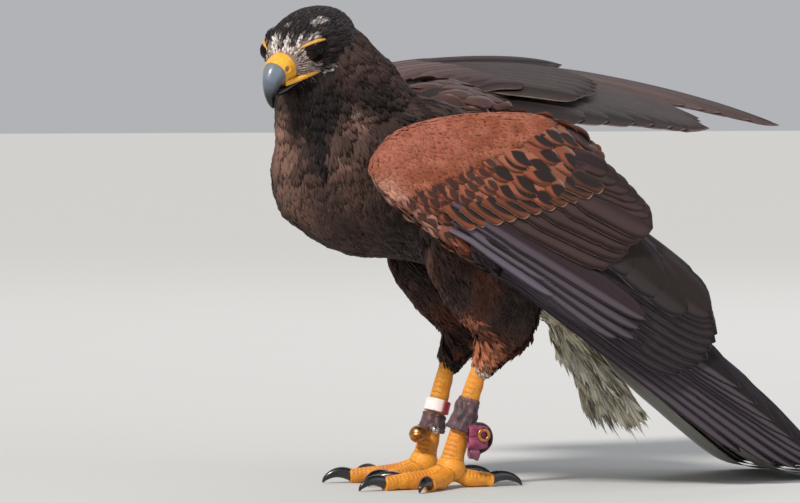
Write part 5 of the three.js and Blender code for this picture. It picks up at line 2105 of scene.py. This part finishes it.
    def _lores(self, at: Array) -> Array:
        """Which places lie between the bill and the eyes."""
        local = HEAD.local(at)
        return (local[:, 0] < -12.0) & (local[:, 2] < 4.5) & (local[:, 2] > -10) & (np.abs(local[:, 1]) > 5)

    def _head_tint(self, roots: Roots, rng: np.random.Generator) -> Array:
        """Brown-black with purplish lights, white streaks on the forehead and an olive throat."""
        local = HEAD.local(roots.at)
        tint = np.tile(np.array(HEAD_DARK), (len(local), 1))
        tint = blended(tint, HEAD_LIT, ease(0.5, 0.75, clouds(roots.at, (0.25, 0.25, 0.25), 6)) * 0.5)
        tint = blended(tint, OLIVE, ease(-10, -18, local[:, 2]) * rng.random(len(tint)) * 0.35)
        tufts = ease(0.5, 0.6, clouds(local * [0, 1, 0], (1, 0.42, 1), 5)) * ease(15, 11, local[:, 2])
        tufts += ease(8.0, 6.0, local[:, 2])
        fore = ease(-11, -15, local[:, 0]) * (local[:, 2] > 3)
        tint = blended(tint, WHITE, np.clip(tufts, 0, 1) * fore * 0.95)
        tint = self._marked(roots.at, tint, CROWN_MARKS)
        return tint * (0.9 + 0.2 * rng.random((len(tint), 1)))

    def _lore_tint(self, roots: Roots, rng: np.random.Generator) -> Array:
        """Pale grey-pink bristles, some of them dark."""
        tint = np.tile(np.array(GREY_PINK), (len(roots.at), 1))
        return blended(tint, HEAD_DARK, (rng.random(len(tint)) < 0.3) * 0.8)

    def _head(self) -> list[Coat]:
        """Feathers of the head and the bristles before the eyes."""

        def feathered(at: Array, normal: Array) -> Array:
            return ~self._bare(at) & ~self._lores(at)

        def bristled(at: Array, normal: Array) -> Array:
            return self._lores(at) & ~self._bare(at)

        def by_bill(roots: Roots) -> Array:
            return 0.55 + 0.45 * ease(-20, 5, HEAD.local(roots.at)[:, 0])

        return [
            Coat("head_coat", HEAD_FORMS, 1.45, 8.0, 2.5, 0.45, Shape.STREAK, Look.BODY, 106, feathered, self._head_tint,
                 longer=by_bill, fringe=lambda r: np.full(len(r.at), 0.3), sink=0.4),
            Coat("bristles", HEAD_FORMS, 0.9, 6.0, 0.8, 0.9, Shape.HAIR, Look.BODY, 107, bristled, self._lore_tint,
                 sink=0.2, vary=0.4),
        ]

    # Wings

    def _shoulder_tint(self, left: bool) -> Painter:
        """Rusty shoulders that turn dark towards the elbow and, on the far wing, all over: partly the dark scapulars'
        own colour, partly painted shade. The near shoulder carries painted highlights.
        """

        def paint(roots: Roots, rng: np.random.Generator) -> Array:
            tint = np.tile(np.array(RUST), (len(roots.at), 1))
            tint = blended(tint, RUST_LIT, ease(0.35, 0.7, clouds(roots.at, (0.08, 0.08, 0.16), 7)) * 0.7)
            # Painted shade over the scapulars' own dark: the near shoulder's hind edge, and nearly all of the far
            # shoulder.
            hind = ease(38, 62, roots.at[:, 0]) if left else ease(-44, -26, roots.at[:, 0])
            tint = blended(tint, COVERT_DARK, hind * 0.9)
            tint = self._marked(roots.at, tint, WING_HIGHLIGHTS)
            return tint * (0.92 + 0.16 * rng.random((len(tint), 1)))

        return paint

    def _wrist_tint(self, roots: Roots, rng: np.random.Generator) -> Array:
        """Slate, lightened to lavender as painted sheen, towards the hand's end, and rusty at the wrist."""
        tint = np.tile(np.array(SHEEN_SLATE), (len(roots.at), 1))
        return blended(tint, RUST, ease(-16, -28, roots.at[:, 0]))

    def _under_tint(self, roots: Roots, rng: np.random.Generator) -> Array:
        """Rusty brown underwing."""
        tint = np.tile(np.array(RUST), (len(roots.at), 1))
        tint = blended(tint, BLACK_BROWN, 0.35 + 0.5 * clouds(roots.at, (0.09, 0.09, 0.09), 8))
        return blended(tint, BLACK_BROWN, ease(-32, -14, roots.at[:, 0]) * (roots.at[:, 2] < 190))

    def _wings(self) -> list[Coat]:
        """Small coverts over and under both wings."""
        coats = []
        for wing in (LEFT_WING, RIGHT_WING):
            left = wing.side is Side.LEFT
            label = wing.side.label
            out = wing.sheet.normal * (1 if wing.sheet.upright or wing.outward > 0 else -1)
            forms = (f"arm_{label}", f"hand_{label}", f"humerus_{label}")
            run = unit(np.array([0.72, 0, -0.69]) if left else np.array([0.93, 0.1, -0.25]))
            hind = np.array([0.95, 0, -0.32]) if left else np.array([0.95, -0.25, -0.25])

            def over(at: Array, normal: Array, out: Array = out) -> Array:
                return normal @ out > -0.45

            def below(at: Array, normal: Array, out: Array = out) -> Array:
                return normal @ out < -0.3

            def border(at: Array, left: bool = left) -> Array:
                return 200 + 0.385 * (at[:, 0] + 32) - at[:, 2] if left else at[:, 0] + 24

            def spared(at: Array, normal: Array | None = None, left: bool = left) -> Array:
                """The hand past the wrist, which only long feathers cover."""
                return (at[:, 0] > -26) & (at[:, 2] < 176) if left else at[:, 0] > 60

            def small(at: Array, normal: Array, over: Callable = over, border: Callable = border,
                      spared: Callable = spared) -> Array:
                return over(at, normal) & (border(at) > -2) & (at[:, 0] < -6) & ~spared(at)

            def large(at: Array, normal: Array, over: Callable = over, border: Callable = border,
                      spared: Callable = spared) -> Array:
                return over(at, normal) & (border(at) > 0) & (at[:, 0] > -12) & ~spared(at)

            def plain(at: Array, normal: Array, over: Callable = over, border: Callable = border,
                      spared: Callable = spared) -> Array:
                return over(at, normal) & (border(at) < 6) & ~spared(at)

            def way(roots: Roots, run: Array = run, hind: Array = hind) -> Array:
                share = ease(-40, 60, roots.at[:, 0])[:, None]
                return run * (1 - share) + hind * share

            def full(share: float) -> Callable[[Roots], Array]:
                return lambda roots: np.full(len(roots.at), share)

            tint = self._shoulder_tint(left)
            mark = 1.0 if left else 0.3
            coats += [
                Coat(f"shoulder_{label}", forms, 1.5, 8.5, 4.6, 0.1, Shape.STREAK, Look.SHOULDER, 114 + left, plain,
                     tint, fringe=full(0.15), lie=way, vary=0.15, sink=0.05),
                Coat(f"scallops_{label}", forms, 4.0, 15, 8.4, 0.4, Shape.LEAF, Look.SHOULDER, 110 + left, small, tint,
                     mark=full(mark * 0.85), fringe=full(0.9), lie=way, vary=0.08, sink=0.3, pull=tuple(run * 1.6)),
                Coat(f"ovals_{label}", forms, 7.0, 28, 13.5, 0.5, Shape.LEAF, Look.SHOULDER, 118 + left, large, tint,
                     mark=full(mark), fringe=full(0.9), lie=way, vary=0.06, sink=0.3, pull=tuple(run * 1.9)),
                Coat(f"underwing_{label}", forms, 5.0, 18, 10, 1.2, Shape.LEAF, Look.SHOULDER, 112 + left, below,
                     self._under_tint, lie=way),
            ]
            if left:
                coats.append(
                    Coat("wrist_left", ("hand_left",), 3.2, 17, 6.2, 0.7, Shape.LEAF, Look.COVERT, 120,
                         spared, self._wrist_tint, fringe=full(1.0), lie=way, vary=0.1, sink=0.3)
                )
        return coats


def polyline_apart(places: Array, form: tuple[Station, ...]) -> Array:
    """How far each place is from the middle line of a form."""
    line = curve(np.array([s.at for s in form], float), np.linspace(0, 1, 24))
    return np.linalg.norm(places[:, None] - line[None], axis=2).min(1)


# Head parts

UPPER_BILL = stations(
    (-20, 0, -3, 7.4, 7.2), (-27, 0, -2.4, 7.0, 7.4), (-33, 0, -3.6, 7.1, 7.7), (-38, 0, -7, 5.4, 6.4),
    (-41.4, 0, -12, 3.8, 4.7), (-42.6, 0, -17.6, 2.2, 2.9), (-42, 0, -22.2, 0.7, 0.9),
)
CERE = stations(
    (-18, 0, -3.2, 9.9, 9.7), (-22, 0, -2.8, 9.5, 9.3), (-27, 0, -2.2, 8.95, 8.95), (-33, 0, -3.6, 7.5, 8.1),
    (-38, 0, -7, 5.7, 6.7)
)
LOWER_BILL = stations(
    (-15, 0, -13, 9, 3.6), (-26, 0, -14, 7, 3.2), (-33, 0, -15, 4.8, 2.6), (-37, 0, -15.2, 2.6, 1.4)
)
GAPE = stations(
    (-31, 4.6, -10.9, 1.5, 1.0), (-22, 9.2, -10.6, 1.7, 1.4), (-13, 14.2, -10.0, 1.5, 1.3), (-6, 17.8, -9.8, 0.6, 0.6)
)
BROW = stations(
    (-19, 11.6, 7.6, 0.5, 0.8), (-15, 15.4, 8.7, 1.0, 1.7), (-10, 19.2, 9.1, 1.1, 1.8), (-5, 21.6, 8.5, 0.5, 0.9)
)
MOUTH_HEIGHT = -11.0
MOUTH_SLOPE = 0.06
NOSTRIL_AT = (-30.4, 7.7, -1.7)


@dataclass
class Face:
    """Cere, bill, eyes, lids and brows, all in the head's own frame."""

    bench: Bench
    cere_finish: ScaleFinish = ScaleFinish("cere", shade("f6bd3c"), shade("e08e18"), 500.0, 0.32, 0.22)
    horn: HornFinish = HornFinish("horn", shade("6f7986"), shade("07080a"))
    # The lids' near-black colours are painted shade under the brow, deeper than the lids' own skin.
    lid: ScaleFinish = ScaleFinish("lid", shade("1f1714"), shade("0d0908"), 1400.0, 0.75, 0.4, 0.12)
    brow: ScaleFinish = ScaleFinish("brow", shade("e3b04a"), shade("8a5f2a"), 900.0, 0.45, 0.45)

    def make(self) -> None:
        """Builds all parts of the face."""
        self._bill()
        self._cere()
        eye = EyeFinish().make()
        for side in Side:
            self._eye(side, eye)
        self._brows()

    def _sweep(self, form: tuple[Station, ...], across: tuple[float, float, float] = (0.0, 1.0, 0.0), **more) -> Sweep:
        """A sweep in the head's frame."""
        return Sweep(form, across, frame=HEAD.matrix(), **more)

    def _bill(self) -> None:
        """Upper and lower bill, parted along the mouth, the lower one painted dark all over as shade."""

        def over(points: Array) -> Array:
            line = MOUTH_HEIGHT + MOUTH_SLOPE * points[..., 0]
            fade = ease(-36.0, -39.5, points[..., 0])
            shaped = points.copy()
            shaped[..., 2] = np.maximum(points[..., 2], line - fade * 14)
            return shaped

        def under(points: Array) -> Array:
            line = MOUTH_HEIGHT + MOUTH_SLOPE * points[..., 0] - 0.3
            shaped = points.copy()
            shaped[..., 2] = np.minimum(points[..., 2], line)
            return shaped

        finish = self.horn.make()
        upper = self._sweep(UPPER_BILL, sides=72, steps=70, bend=over).build(self.bench, "bill_over")
        self._reach(upper, 71, 72, 0.25)
        smooth(upper, 50)
        dress(upper, finish, "horn", "bill_upper")
        lower = self._sweep(LOWER_BILL, sides=48, steps=30, bend=under).build(self.bench, "bill_under")
        # Painted shade: the whole lower bill takes the dark tip colour, for the shade under the upper bill.
        value_points(lower, "reach", np.full(len(lower.data.vertices), 0.72))
        smooth(lower, 50)
        dress(lower, finish, "horn", "bill_lower")

    def _reach(self, piece: bpy.types.Object, rings: int, sides: int, start: float) -> None:
        """Stores how far along its sweep each point lies, from "start" on."""
        share = np.repeat(np.linspace(0, 1, rings), sides)
        along = np.clip((np.concatenate([share, [0, 1]]) - start) / (1 - start), 0, 1)
        value_points(piece, "reach", along)

    def _cere(self) -> None:
        """The cere with its nostrils, and the soft fold along the gape."""

        def shaped(points: Array) -> Array:
            line = MOUTH_HEIGHT + MOUTH_SLOPE * points[..., 0]
            made = points.copy()
            made[..., 2] = np.maximum(points[..., 2], line)
            made[..., 0] = np.maximum(made[..., 0], -32.4 - 0.3 * (made[..., 2] + 4))
            for sign in (-1, 1):
                apart = (made - np.array([NOSTRIL_AT[0], sign * NOSTRIL_AT[1], NOSTRIL_AT[2]])) / [2.0, 4.0, 1.9]
                near = np.linalg.norm(apart, axis=-1)
                made[..., 1] -= sign * (1.3 * ease(1.0, 0.45, near) - 0.4 * np.exp(-(((near - 1.3) / 0.35) ** 2)))
            return made

        cere = self._sweep(CERE, sides=144, steps=72, bend=shaped).build(self.bench, "cere_skin")
        folds = [
            self._sweep(GAPE if sign > 0 else mirrored(GAPE), (0.0, 0.3, 1.0), sides=24, steps=30).build(
                self.bench, "gape_fold"
            )
            for sign in (1, -1)
        ]
        piece = join([cere, *folds], "cere_skin")
        local = HEAD.local(self.bench.design(points_of(piece)))
        local[:, 1] = np.abs(local[:, 1])
        # Painted shade: fold deepens the colour of the nostrils.
        near = np.linalg.norm((local - np.array(NOSTRIL_AT) + [0, 1.2, 0]) / [2.3, 3.4, 2.2], axis=1)
        value_points(piece, "fold", ease(1.0, 0.5, near))
        smooth(piece)
        dress(piece, self.cere_finish.make(), "cere", "cere")

    def _eye(self, side: Side, finish: bpy.types.Material) -> None:
        """One eyeball with its cornea, and the lids round it."""
        turn = math.radians(EYE_TURN)
        look = Vector((-math.sin(turn), side.value * math.cos(turn), 0.0))
        centre = Vector((EYE_AT[0], side.value * EYE_AT[1], EYE_AT[2]))
        bpy.ops.object.select_all(action="DESELECT")
        bpy.ops.mesh.primitive_uv_sphere_add(segments=56, ring_count=40, radius=EYE_RADIUS)
        ball = bpy.context.object
        ball.name = f"eyeball_{side.label}"
        local = points_of(ball)
        angle = np.degrees(np.arccos(np.clip(local[:, 2] / EYE_RADIUS, -1, 1)))
        local[:, 2] += 0.7 * ease(48, 0, angle)
        facing = look.to_track_quat("Z", "Y").to_matrix().to_4x4()
        frame = HEAD.matrix() @ Matrix.Translation(centre) @ facing
        move_points(ball, self.bench.metres(moved(frame, local)))
        value_points(ball, "reach", np.clip(angle / 66, 0, 1))
        smooth(ball)
        dress(ball, finish, "eye", f"eye_{side.label}")
        shells = [self._lid(up, low) for up, low in ((1.0, 1.6), (-1.0, 3.9))]
        lid = join(shells, f"lid_{side.label}")
        rim = points_of(lid)
        move_points(lid, self.bench.metres(moved(frame, rim)))
        value_points(lid, "fold", 0.5 + 0.5 * np.sin(rim[:, 1] * 5) * 0.4)
        smooth(lid)
        dress(lid, self._made("lid", self.lid), "eye")

    def _lid(self, up: float, low: float) -> bpy.types.Object:
        """One lid as a shell over the eye, from "low" to its top or, where "up" is -1, to its bottom."""
        bpy.ops.object.select_all(action="DESELECT")
        bpy.ops.mesh.primitive_uv_sphere_add(segments=64, ring_count=48, radius=EYE_RADIUS + 0.15)
        shell = bpy.context.object
        bpy.ops.object.mode_set(mode="EDIT")
        bpy.ops.mesh.select_all(action="SELECT")
        bpy.ops.mesh.bisect(plane_co=(0, up * low, 0), plane_no=(0.12, up, -0.1), clear_inner=True)
        bpy.ops.mesh.select_all(action="SELECT")
        bpy.ops.mesh.bisect(plane_co=(0, 0, 1.5), plane_no=(0, 0, 1), clear_inner=True)
        bpy.ops.object.mode_set(mode="OBJECT")
        finish_with(shell, "SOLIDIFY", thickness=0.55, offset=1.0)
        finish_with(shell, "BEVEL", width=0.18, segments=2, limit_method="ANGLE", angle_limit=0.9)
        return shell

    def _made(self, key: str, finish: ScaleFinish) -> bpy.types.Material:
        """A finish made once."""
        if key not in MATERIALS:
            MATERIALS[key] = finish.make()
        return MATERIALS[key]

    def _brows(self) -> None:
        """The yellow ridge of skin over each eye."""
        ridges = [
            self._sweep(BROW if side is Side.RIGHT else mirrored(BROW), (0.0, 0.0, 1.0), sides=28, steps=34).build(
                self.bench, "brow_ridges"
            )
            for side in Side
        ]
        piece = join(ridges, "brow_ridges")
        value_points(piece, "fold", np.zeros(len(piece.data.vertices)))
        smooth(piece)
        dress(piece, self.brow.make(), "cere")


# Legs

TARSUS = stations((18.8, -28.6, 84, 3, 3.6), (11.6, -26.6, 60, 4.7, 5.5), (5, -25, 38, 4.9, 5.8), (-1, -24, 17, 6.6, 7))
FOOT_AT = (-2.0, -24.0, 12.5)
FOOT_SIZE = (9.2, 9.2, 8.5)
FOOT_YAW = 7.0
TOE_SINK = 0.5


@dataclass(frozen=True)
class Toe:
    """One toe: its bearing from straight ahead, its length, its radius at the root, and the chord of its claw."""

    name: str
    bearing: float
    reach: float
    thick: float
    claw: float
    plates: int


TOES = (
    Toe("inner", -30, 32, 5.2, 21, 11), Toe("middle", 2, 47, 5.3, 19, 17),
    Toe("outer", 40, 35, 4.8, 16, 13), Toe("hind", 172, 27, 5.0, 22, 9),
)
TOE_JOINTS = ((0.02, 11, 1.2), (0.3, 7.4, 1.05), (0.52, 5.6, 1.08), (0.76, 5.4, 0.9), (1, 4.3, 0.88))
CLAW_JOINTS = ((-0.12, 5, 3.3), (0.2, 7, 3.1), (0.52, 6.6, 2.4), (0.78, 4, 1.5), (0.9, 1.1, 0.5))


def plates(count: int, height: float, facing: float) -> Relief:
    """Overlapping plates along a form, on the side where the cosine has the sign of "facing"."""

    def relief(share: Array, angle: Array) -> Array:
        place = (share * count) % 1.0
        plate = (1 - np.abs(2 * place - 1) ** 5) * (0.55 + 0.45 * place)
        pads = 0.5 + 0.5 * np.cos((share * count * 0.32) * 2 * math.pi)
        on_top = ease(-0.05, 0.35, np.cos(angle) * facing)
        return height * (plate * on_top + 0.8 * pads * (1 - on_top))

    return relief


@dataclass
class Leg:
    """One bare shank with its foot, toes and claws."""

    bench: Bench
    side: Side
    finish: bpy.types.Material
    horn: bpy.types.Material

    def _spot(self, x: float, y: float, z: float) -> Array:
        """A place of the left leg, taken over to this one."""
        return np.array([x, y * -self.side.value, z])

    def make(self) -> None:
        """Builds shank, foot and claws."""
        label = self.side.label
        form = TARSUS if self.side is Side.LEFT else mirrored(TARSUS)
        shank = Sweep(form, steps=90, sides=40).build(self.bench, "shank", plates(22, 0.5, -1.0))
        parts = [shank, self._heel()] + [self._toe(toe) for toe in TOES]
        leg = join(parts, f"leg_{label}")
        fuse(leg, 0.55, 1)
        self._set_down(leg)
        # Painted shade in the hollows of shank, foot and toes.
        value_points(leg, "fold", self._folds(leg))
        dress(leg, self.finish, "scales", f"tarsus_{label}", f"foot_{label}")
        claws = join([self._claw(toe) for toe in TOES], f"claws_{label}")
        count = len(claws.data.vertices) // len(TOES)
        share = np.concatenate([np.repeat(np.linspace(0, 1, 31), 28), [0, 1]])
        value_points(claws, "reach", np.tile(0.3 + 0.7 * share, len(TOES))[: count * len(TOES)])
        smooth(claws)
        dress(claws, self.horn, "claw", *[f"claw_{label}_{toe.name}" for toe in TOES])

    def _heel(self) -> bpy.types.Object:
        """The ball of the foot."""
        x, y, z = self._spot(*FOOT_AT)
        wide, deep, high = FOOT_SIZE
        form = stations(
            (x, y, z - high, 1.5, 1.5), (x, y, z - high * 0.7, wide * 0.75, deep * 0.75), (x, y, z, wide, deep),
            (x, y, z + high * 0.7, wide * 0.75, deep * 0.75), (x, y, z + high, 1.5, 1.5),
        )
        return Sweep(form, sides=32, steps=24).build(self.bench, "heel")

    def _direction(self, toe: Toe) -> Array:
        """The way that a toe points along the floor."""
        bearing = math.radians(FOOT_YAW + toe.bearing)
        return np.array([-math.cos(bearing), self.side.value * math.sin(bearing), 0.0])

    def _toe(self, toe: Toe) -> bpy.types.Object:
        """A toe from inside the foot out to the root of its claw."""
        way = self._direction(toe)
        foot = self._spot(*FOOT_AT)
        rows = []
        for share, height, size in TOE_JOINTS:
            spot = foot + way * toe.reach * share
            rows.append(Station((spot[0], spot[1], height), toe.thick * size, toe.thick * size * 0.95))
        across = (-way[1], way[0], 0.0)
        sweep = Sweep(tuple(rows), across, sides=36, steps=70)
        return sweep.build(self.bench, "toe", plates(toe.plates, 0.55, 1.0))

    def _claw(self, toe: Toe) -> bpy.types.Object:
        """A claw that leaves the toe's end and curves down to just over the floor."""
        way = self._direction(toe)
        start = self._spot(*FOOT_AT) + way * toe.reach
        rows = []
        for share, height, half in CLAW_JOINTS:
            spot = start + way * share * toe.claw
            rows.append(Station((spot[0], spot[1], height - TOE_SINK), half, half * 1.15))
        return Sweep(tuple(rows), (-way[1], way[0], 0.0), sides=28, steps=30).build(self.bench, "claw")

    def _set_down(self, leg: bpy.types.Object) -> None:
        """Stands the foot flat on the floor."""
        places = self.bench.design(points_of(leg))
        high = places[:, 2]
        places[:, 2] = np.maximum(high, TOE_SINK) - TOE_SINK * ease(30, 12, high)
        move_points(leg, self.bench.metres(places))

    def _folds(self, leg: bpy.types.Object) -> Array:
        """How hollow each place is, from 0 to 1, kept as painted shade that deepens the colour of the hollows."""
        mesh = leg.data
        edges = np.empty(len(mesh.edges) * 2, np.int32)
        mesh.edges.foreach_get("vertices", edges)
        edges = edges.reshape(-1, 2)
        normals = np.empty(len(mesh.vertices) * 3, np.float32)
        mesh.vertices.foreach_get("normal", normals)
        points = points_of(leg) / MM
        total = np.zeros_like(points)
        count = np.zeros(len(points))
        for a, b in ((0, 1), (1, 0)):
            np.add.at(total, edges[:, a], points[edges[:, b]])
            np.add.at(count, edges[:, a], 1)
        apart = ((total / count[:, None] - points) * normals.reshape(-1, 3)).sum(1)
        return np.clip(apart / 0.05, 0, 1)


RED_AT = 0.445


def on_tarsus(side: Side, height: float) -> tuple[Array, Array]:
    """The place of the shank's middle line at a height, and the way it runs there, upwards."""
    form = TARSUS if side is Side.LEFT else mirrored(TARSUS)
    path = curve(np.array([s.at for s in form], float), np.linspace(0, 1, 200))
    index = int(np.argmin(np.abs(path[:, 2] - height)))
    run = unit(path[max(index - 2, 0)] - path[min(index + 2, 199)])
    return path[index], run


def lathe(
    bench: Bench, name: str, profile: Array, centre: Array, up: Array, sides: int = 72, crumple: float = 0.0
) -> bpy.types.Object:
    """Turns a closed outline about an axis.

    Args:
        bench: The way to the shared frame.
        name: The piece's name.
        profile: Radius and height of each point of the outline.
        centre: Where its zero height is on the axis.
        up: The way of the axis.
        sides: Faces round it.
        crumple: How far it is pressed in and out, in millimetres.

    Returns:
        The piece, with the share of the turn as its "reach" and no "fold".
    """
    first = unit(np.cross(up, np.array([0.3, 1.0, 0.1])))
    second = np.cross(up, first)
    turn = np.linspace(0, 2 * math.pi, sides, endpoint=False)[:, None]
    ring = np.cos(turn)[..., None] * first + np.sin(turn)[..., None] * second
    places = centre + ring * profile[None, :, :1] + up * profile[None, :, 1:]
    count = len(profile)
    pressed = clouds(places.reshape(-1, 3), (0.3, 0.3, 0.22), 9).reshape(sides, count, 1) - 0.5
    places = places + ring * pressed * 2 * crumple
    k, j = np.meshgrid(np.arange(sides), np.arange(count), indexing="ij")
    a, b = (k + 1) % sides, (j + 1) % count
    quads = np.stack([k * count + j, a * count + j, a * count + b, k * count + b], -1).reshape(-1, 4)
    piece = mesh_of(name, bench.metres(places.reshape(-1, 3)), [quads])
    turn_out(piece)
    share = (np.arange(sides) / sides + RED_AT) % 1.0
    value_points(piece, "reach", np.repeat(np.abs(2 * share - 1), count))
    return piece


def wall(bottom: float, top: float, tall: float, thick: float, rim: float, steps: int = 10) -> Array:
    """Outline of a flaring band with rounded rims, from its radii, height and thickness."""
    high = np.linspace(-tall / 2, tall / 2, steps)
    out = np.linspace(bottom, top, steps)
    swell = rim * np.exp(-(((np.abs(high) - tall / 2 + 0.7) / 0.6) ** 2))
    outer = np.column_stack([out + swell - rim, high])
    inner = np.column_stack([out - thick, high])[::-1]
    cap = np.array([[top - thick / 2, tall / 2 + 0.35]])
    foot = np.array([[bottom - thick / 2, -tall / 2 - 0.35]])
    return np.vstack([outer, cap, inner, foot])


KNOT = (
    ("knot_fold", 6.3, 1.0, "a8406a", "6a1d3c", (1.0, 0.0, 0.0),
     ((11.5, -33.0, 27.5), (11.5, -32.6, 33), (11.6, -33.4, 37.4), (11.8, -36.2, 37.6), (11.8, -36.6, 34),
      (11.6, -36.4, 31.4), (11.4, -37.6, 28.6), (11.3, -37.0, 25.6), (11.3, -34.4, 25.2), (11.4, -33.8, 27.6))),
    ("knot_tail", 3.2, 0.8, "8f4a66", "4d1f33", (1.0, 0.0, -0.25),
     ((9.4, -34.6, 27), (9.2, -35.8, 24), (9.8, -36.2, 21), (9.0, -35.4, 18.6), (8.4, -34.0, 20.6), (8.8, -33.6, 25))),
    ("knot_edge", 2.3, 1.25, "2a1c22", "120c0f", (0.0, 1.0, 0.0),
     ((6.5, -31.8, 37), (12, -33.4, 39.6), (18.4, -34.0, 37.0), (20.6, -34.2, 31.4), (18.8, -34.2, 25.8),
      (14.2, -34.0, 22.6), (10.6, -33.6, 19.8), (9.6, -33.2, 18.4))),
)


@dataclass
class Furniture:
    """What the bird wears on its legs: ring, cuffs, bell, small ball, strap, folded knot and eyelet."""

    bench: Bench

    def make(self) -> None:
        """Builds all pieces."""
        cuff = LeatherFinish("cuff_leather", shade("6d4a50"), shade("3a2429")).make()
        self._bands(cuff)
        self._bells(cuff)
        self._knot()

    def _bands(self, cuff: bpy.types.Material) -> None:
        """The ring and both cuffs."""
        at, up = on_tarsus(Side.RIGHT, 47)
        ring = lathe(self.bench, "ring", wall(8.1, 8.1, 7.2, 1.2, 0.15), at, up)
        smooth(ring, 40)
        dress(ring, RingFinish("ring", shade("efe4e2"), shade("b5323c")).make(), "band", "leg_ring")
        for side, height, tall, top, bottom in ((Side.RIGHT, 37, 11, 7.2, 8.6), (Side.LEFT, 45, 21, 6.6, 9.6)):
            at, up = on_tarsus(side, height)
            outline = wall(bottom, top, tall - 0.7, 1.1, 0.35, 26)
            band = lathe(self.bench, f"cuff_{side.label}_skin", outline, at, up, 110, 1.5)
            stitches = self._stitches(at, up, tall, top, bottom)
            piece = join([band, stitches], f"cuff_{side.label}_skin")
            value_points(piece, "fold", np.zeros(len(piece.data.vertices)))
            smooth(piece, 50)
            dress(piece, cuff, "leather", f"cuff_{side.label}")

    def _stitches(self, at: Array, up: Array, tall: float, top: float, bottom: float) -> bpy.types.Object:
        """Rows of short stitches along both rims of a cuff."""
        first = unit(np.cross(up, np.array([0.3, 1.0, 0.1])))
        second = np.cross(up, first)
        pieces = []
        for high, radius in ((tall / 2 - 1.8, top), (-tall / 2 + 1.8, bottom)):
            for turn in np.linspace(0, 2 * math.pi, 26, endpoint=False):
                ends = [turn - 0.07, turn, turn + 0.07]
                spots = [at + up * high + (first * math.cos(t) + second * math.sin(t)) * radius for t in ends]
                form = tuple(Station(tuple(p), w, w) for p, w in zip(spots, (0.12, 0.34, 0.12)))
                pieces.append(Sweep(form, tuple(up), sides=6, steps=4).build(self.bench, "stitch"))
        return join(pieces, "stitches")

    def _bells(self, cuff: bpy.types.Material) -> None:
        """The bell with its slot and seam, the small ball, and the strap between bell and cuff."""
        at = np.array([-9.0, 15.0, 30.5])
        up = np.array([0.0, 0.0, 1.0])
        turn = np.linspace(0.02, math.pi - 0.02, 40)
        belt = 0.35 * np.exp(-(((turn - math.pi / 2) / 0.07) ** 2))
        outer = np.column_stack([(5.45 + belt) * np.sin(turn), (5.45 + belt) * np.cos(turn)])
        inner = np.column_stack([4.7 * np.sin(turn), 4.7 * np.cos(turn)])[::-1]
        bell = lathe(self.bench, "bell_body", np.vstack([outer, inner]), at, up, 80)
        bpy.ops.object.select_all(action="DESELECT")
        bpy.ops.mesh.primitive_cube_add(size=1.0)
        knife = bpy.context.object
        corners = points_of(knife) * [17.0, 1.2, 5.6]
        move_points(knife, self.bench.metres(corners + at - [0, 0, 5.6]))
        finish_with(bell, "BOOLEAN", operation="DIFFERENCE", object=knife)
        bpy.data.objects.remove(knife)
        smooth(bell, 40)
        brass = MetalFinish("bell_brass", shade("c08a52"), shade("6e4a30")).make()
        dress(bell, brass, "brass", "bell")
        turn = np.linspace(0.03, math.pi - 0.03, 24)
        round_off = np.column_stack([2.75 * np.sin(turn), 2.75 * np.cos(turn)])
        ball = lathe(self.bench, "small_ball", round_off, np.array([1.2, 12.6, 33.0]), up, 48)
        smooth(ball)
        nickel = MetalFinish("nickel", shade("d2cfc8"), shade("7c7a76"), 0.16).make()
        dress(ball, nickel, "nickel", "bell_small")
        form = stations((4.5, 20.5, 34, 1.9, 0.7), (-0.5, 18.9, 34.6, 1.9, 0.6), (-4.5, 17.2, 34.0, 1.7, 0.6),
                        (-7.0, 15.9, 35.0, 1.4, 0.7))
        strap = Sweep(form, (0.25, 0.85, 0.2), sides=24, steps=30).build(self.bench, "strap")
        value_points(strap, "fold", np.zeros(len(strap.data.vertices)))
        smooth(strap)
        dress(strap, cuff, "leather", "bell_strap")
        MATERIALS["brass"] = brass

    def _knot(self) -> None:
        """The folded knot with its dark edges, and the eyelet on it."""
        for name, wide, deep, light, deep_tint, across, path in KNOT:
            form = tuple(Station(p, wide, deep) for p in path)
            fold = Sweep(form, across, sides=32, steps=90).build(self.bench, name)
            points = self.bench.design(points_of(fold))
            pressed = clouds(points, (0.3, 0.3, 0.3), 4) - 0.5
            move_points(fold, self.bench.metres(points + np.outer(pressed, (0.5, 1.6, 0.8))))
            value_points(fold, "fold", np.zeros(len(fold.data.vertices)))
            smooth(fold)
            dress(fold, LeatherFinish(name, shade(light), shade(deep_tint)).make(), "leather", "cuff_knot")
        turn = np.linspace(0, 2 * math.pi, 20, endpoint=False)
        outline = np.column_stack([3.2 + 1.15 * np.cos(turn), 0.9 * np.sin(turn)])
        eyelet = lathe(self.bench, "eyelet_rim", outline, np.array([14.5, -38.6, 33.0]), np.array([0.0, -1.0, 0.0]), 56)
        smooth(eyelet)
        dress(eyelet, MATERIALS["brass"], "brass", "eyelet")


def main() -> None:
    """Builds the bird."""
    logging.basicConfig(level=logging.INFO, format="%(message)s")
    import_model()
    bench = Bench.from_model()
    view = Viewpoint()
    view.make(bench)
    Studio().make()
    hide = Hide(bench, view)
    Plumage(hide).make()
    for wing in (LEFT_WING, RIGHT_WING):
        wing.make(bench)
    Tail().make(bench)
    Veil().make(bench)
    Face(bench).make()
    scales = ScaleFinish("scales", shade("f2a52a"), shade("c8701a"), 800.0).make()
    claw = HornFinish("claw", shade("24242a"), shade("060607"), 0.18, 0.5).make()
    for side in Side:
        Leg(bench, side, scales, claw).make()
    Furniture(bench).make()


if __name__ == "__main__":
    main()
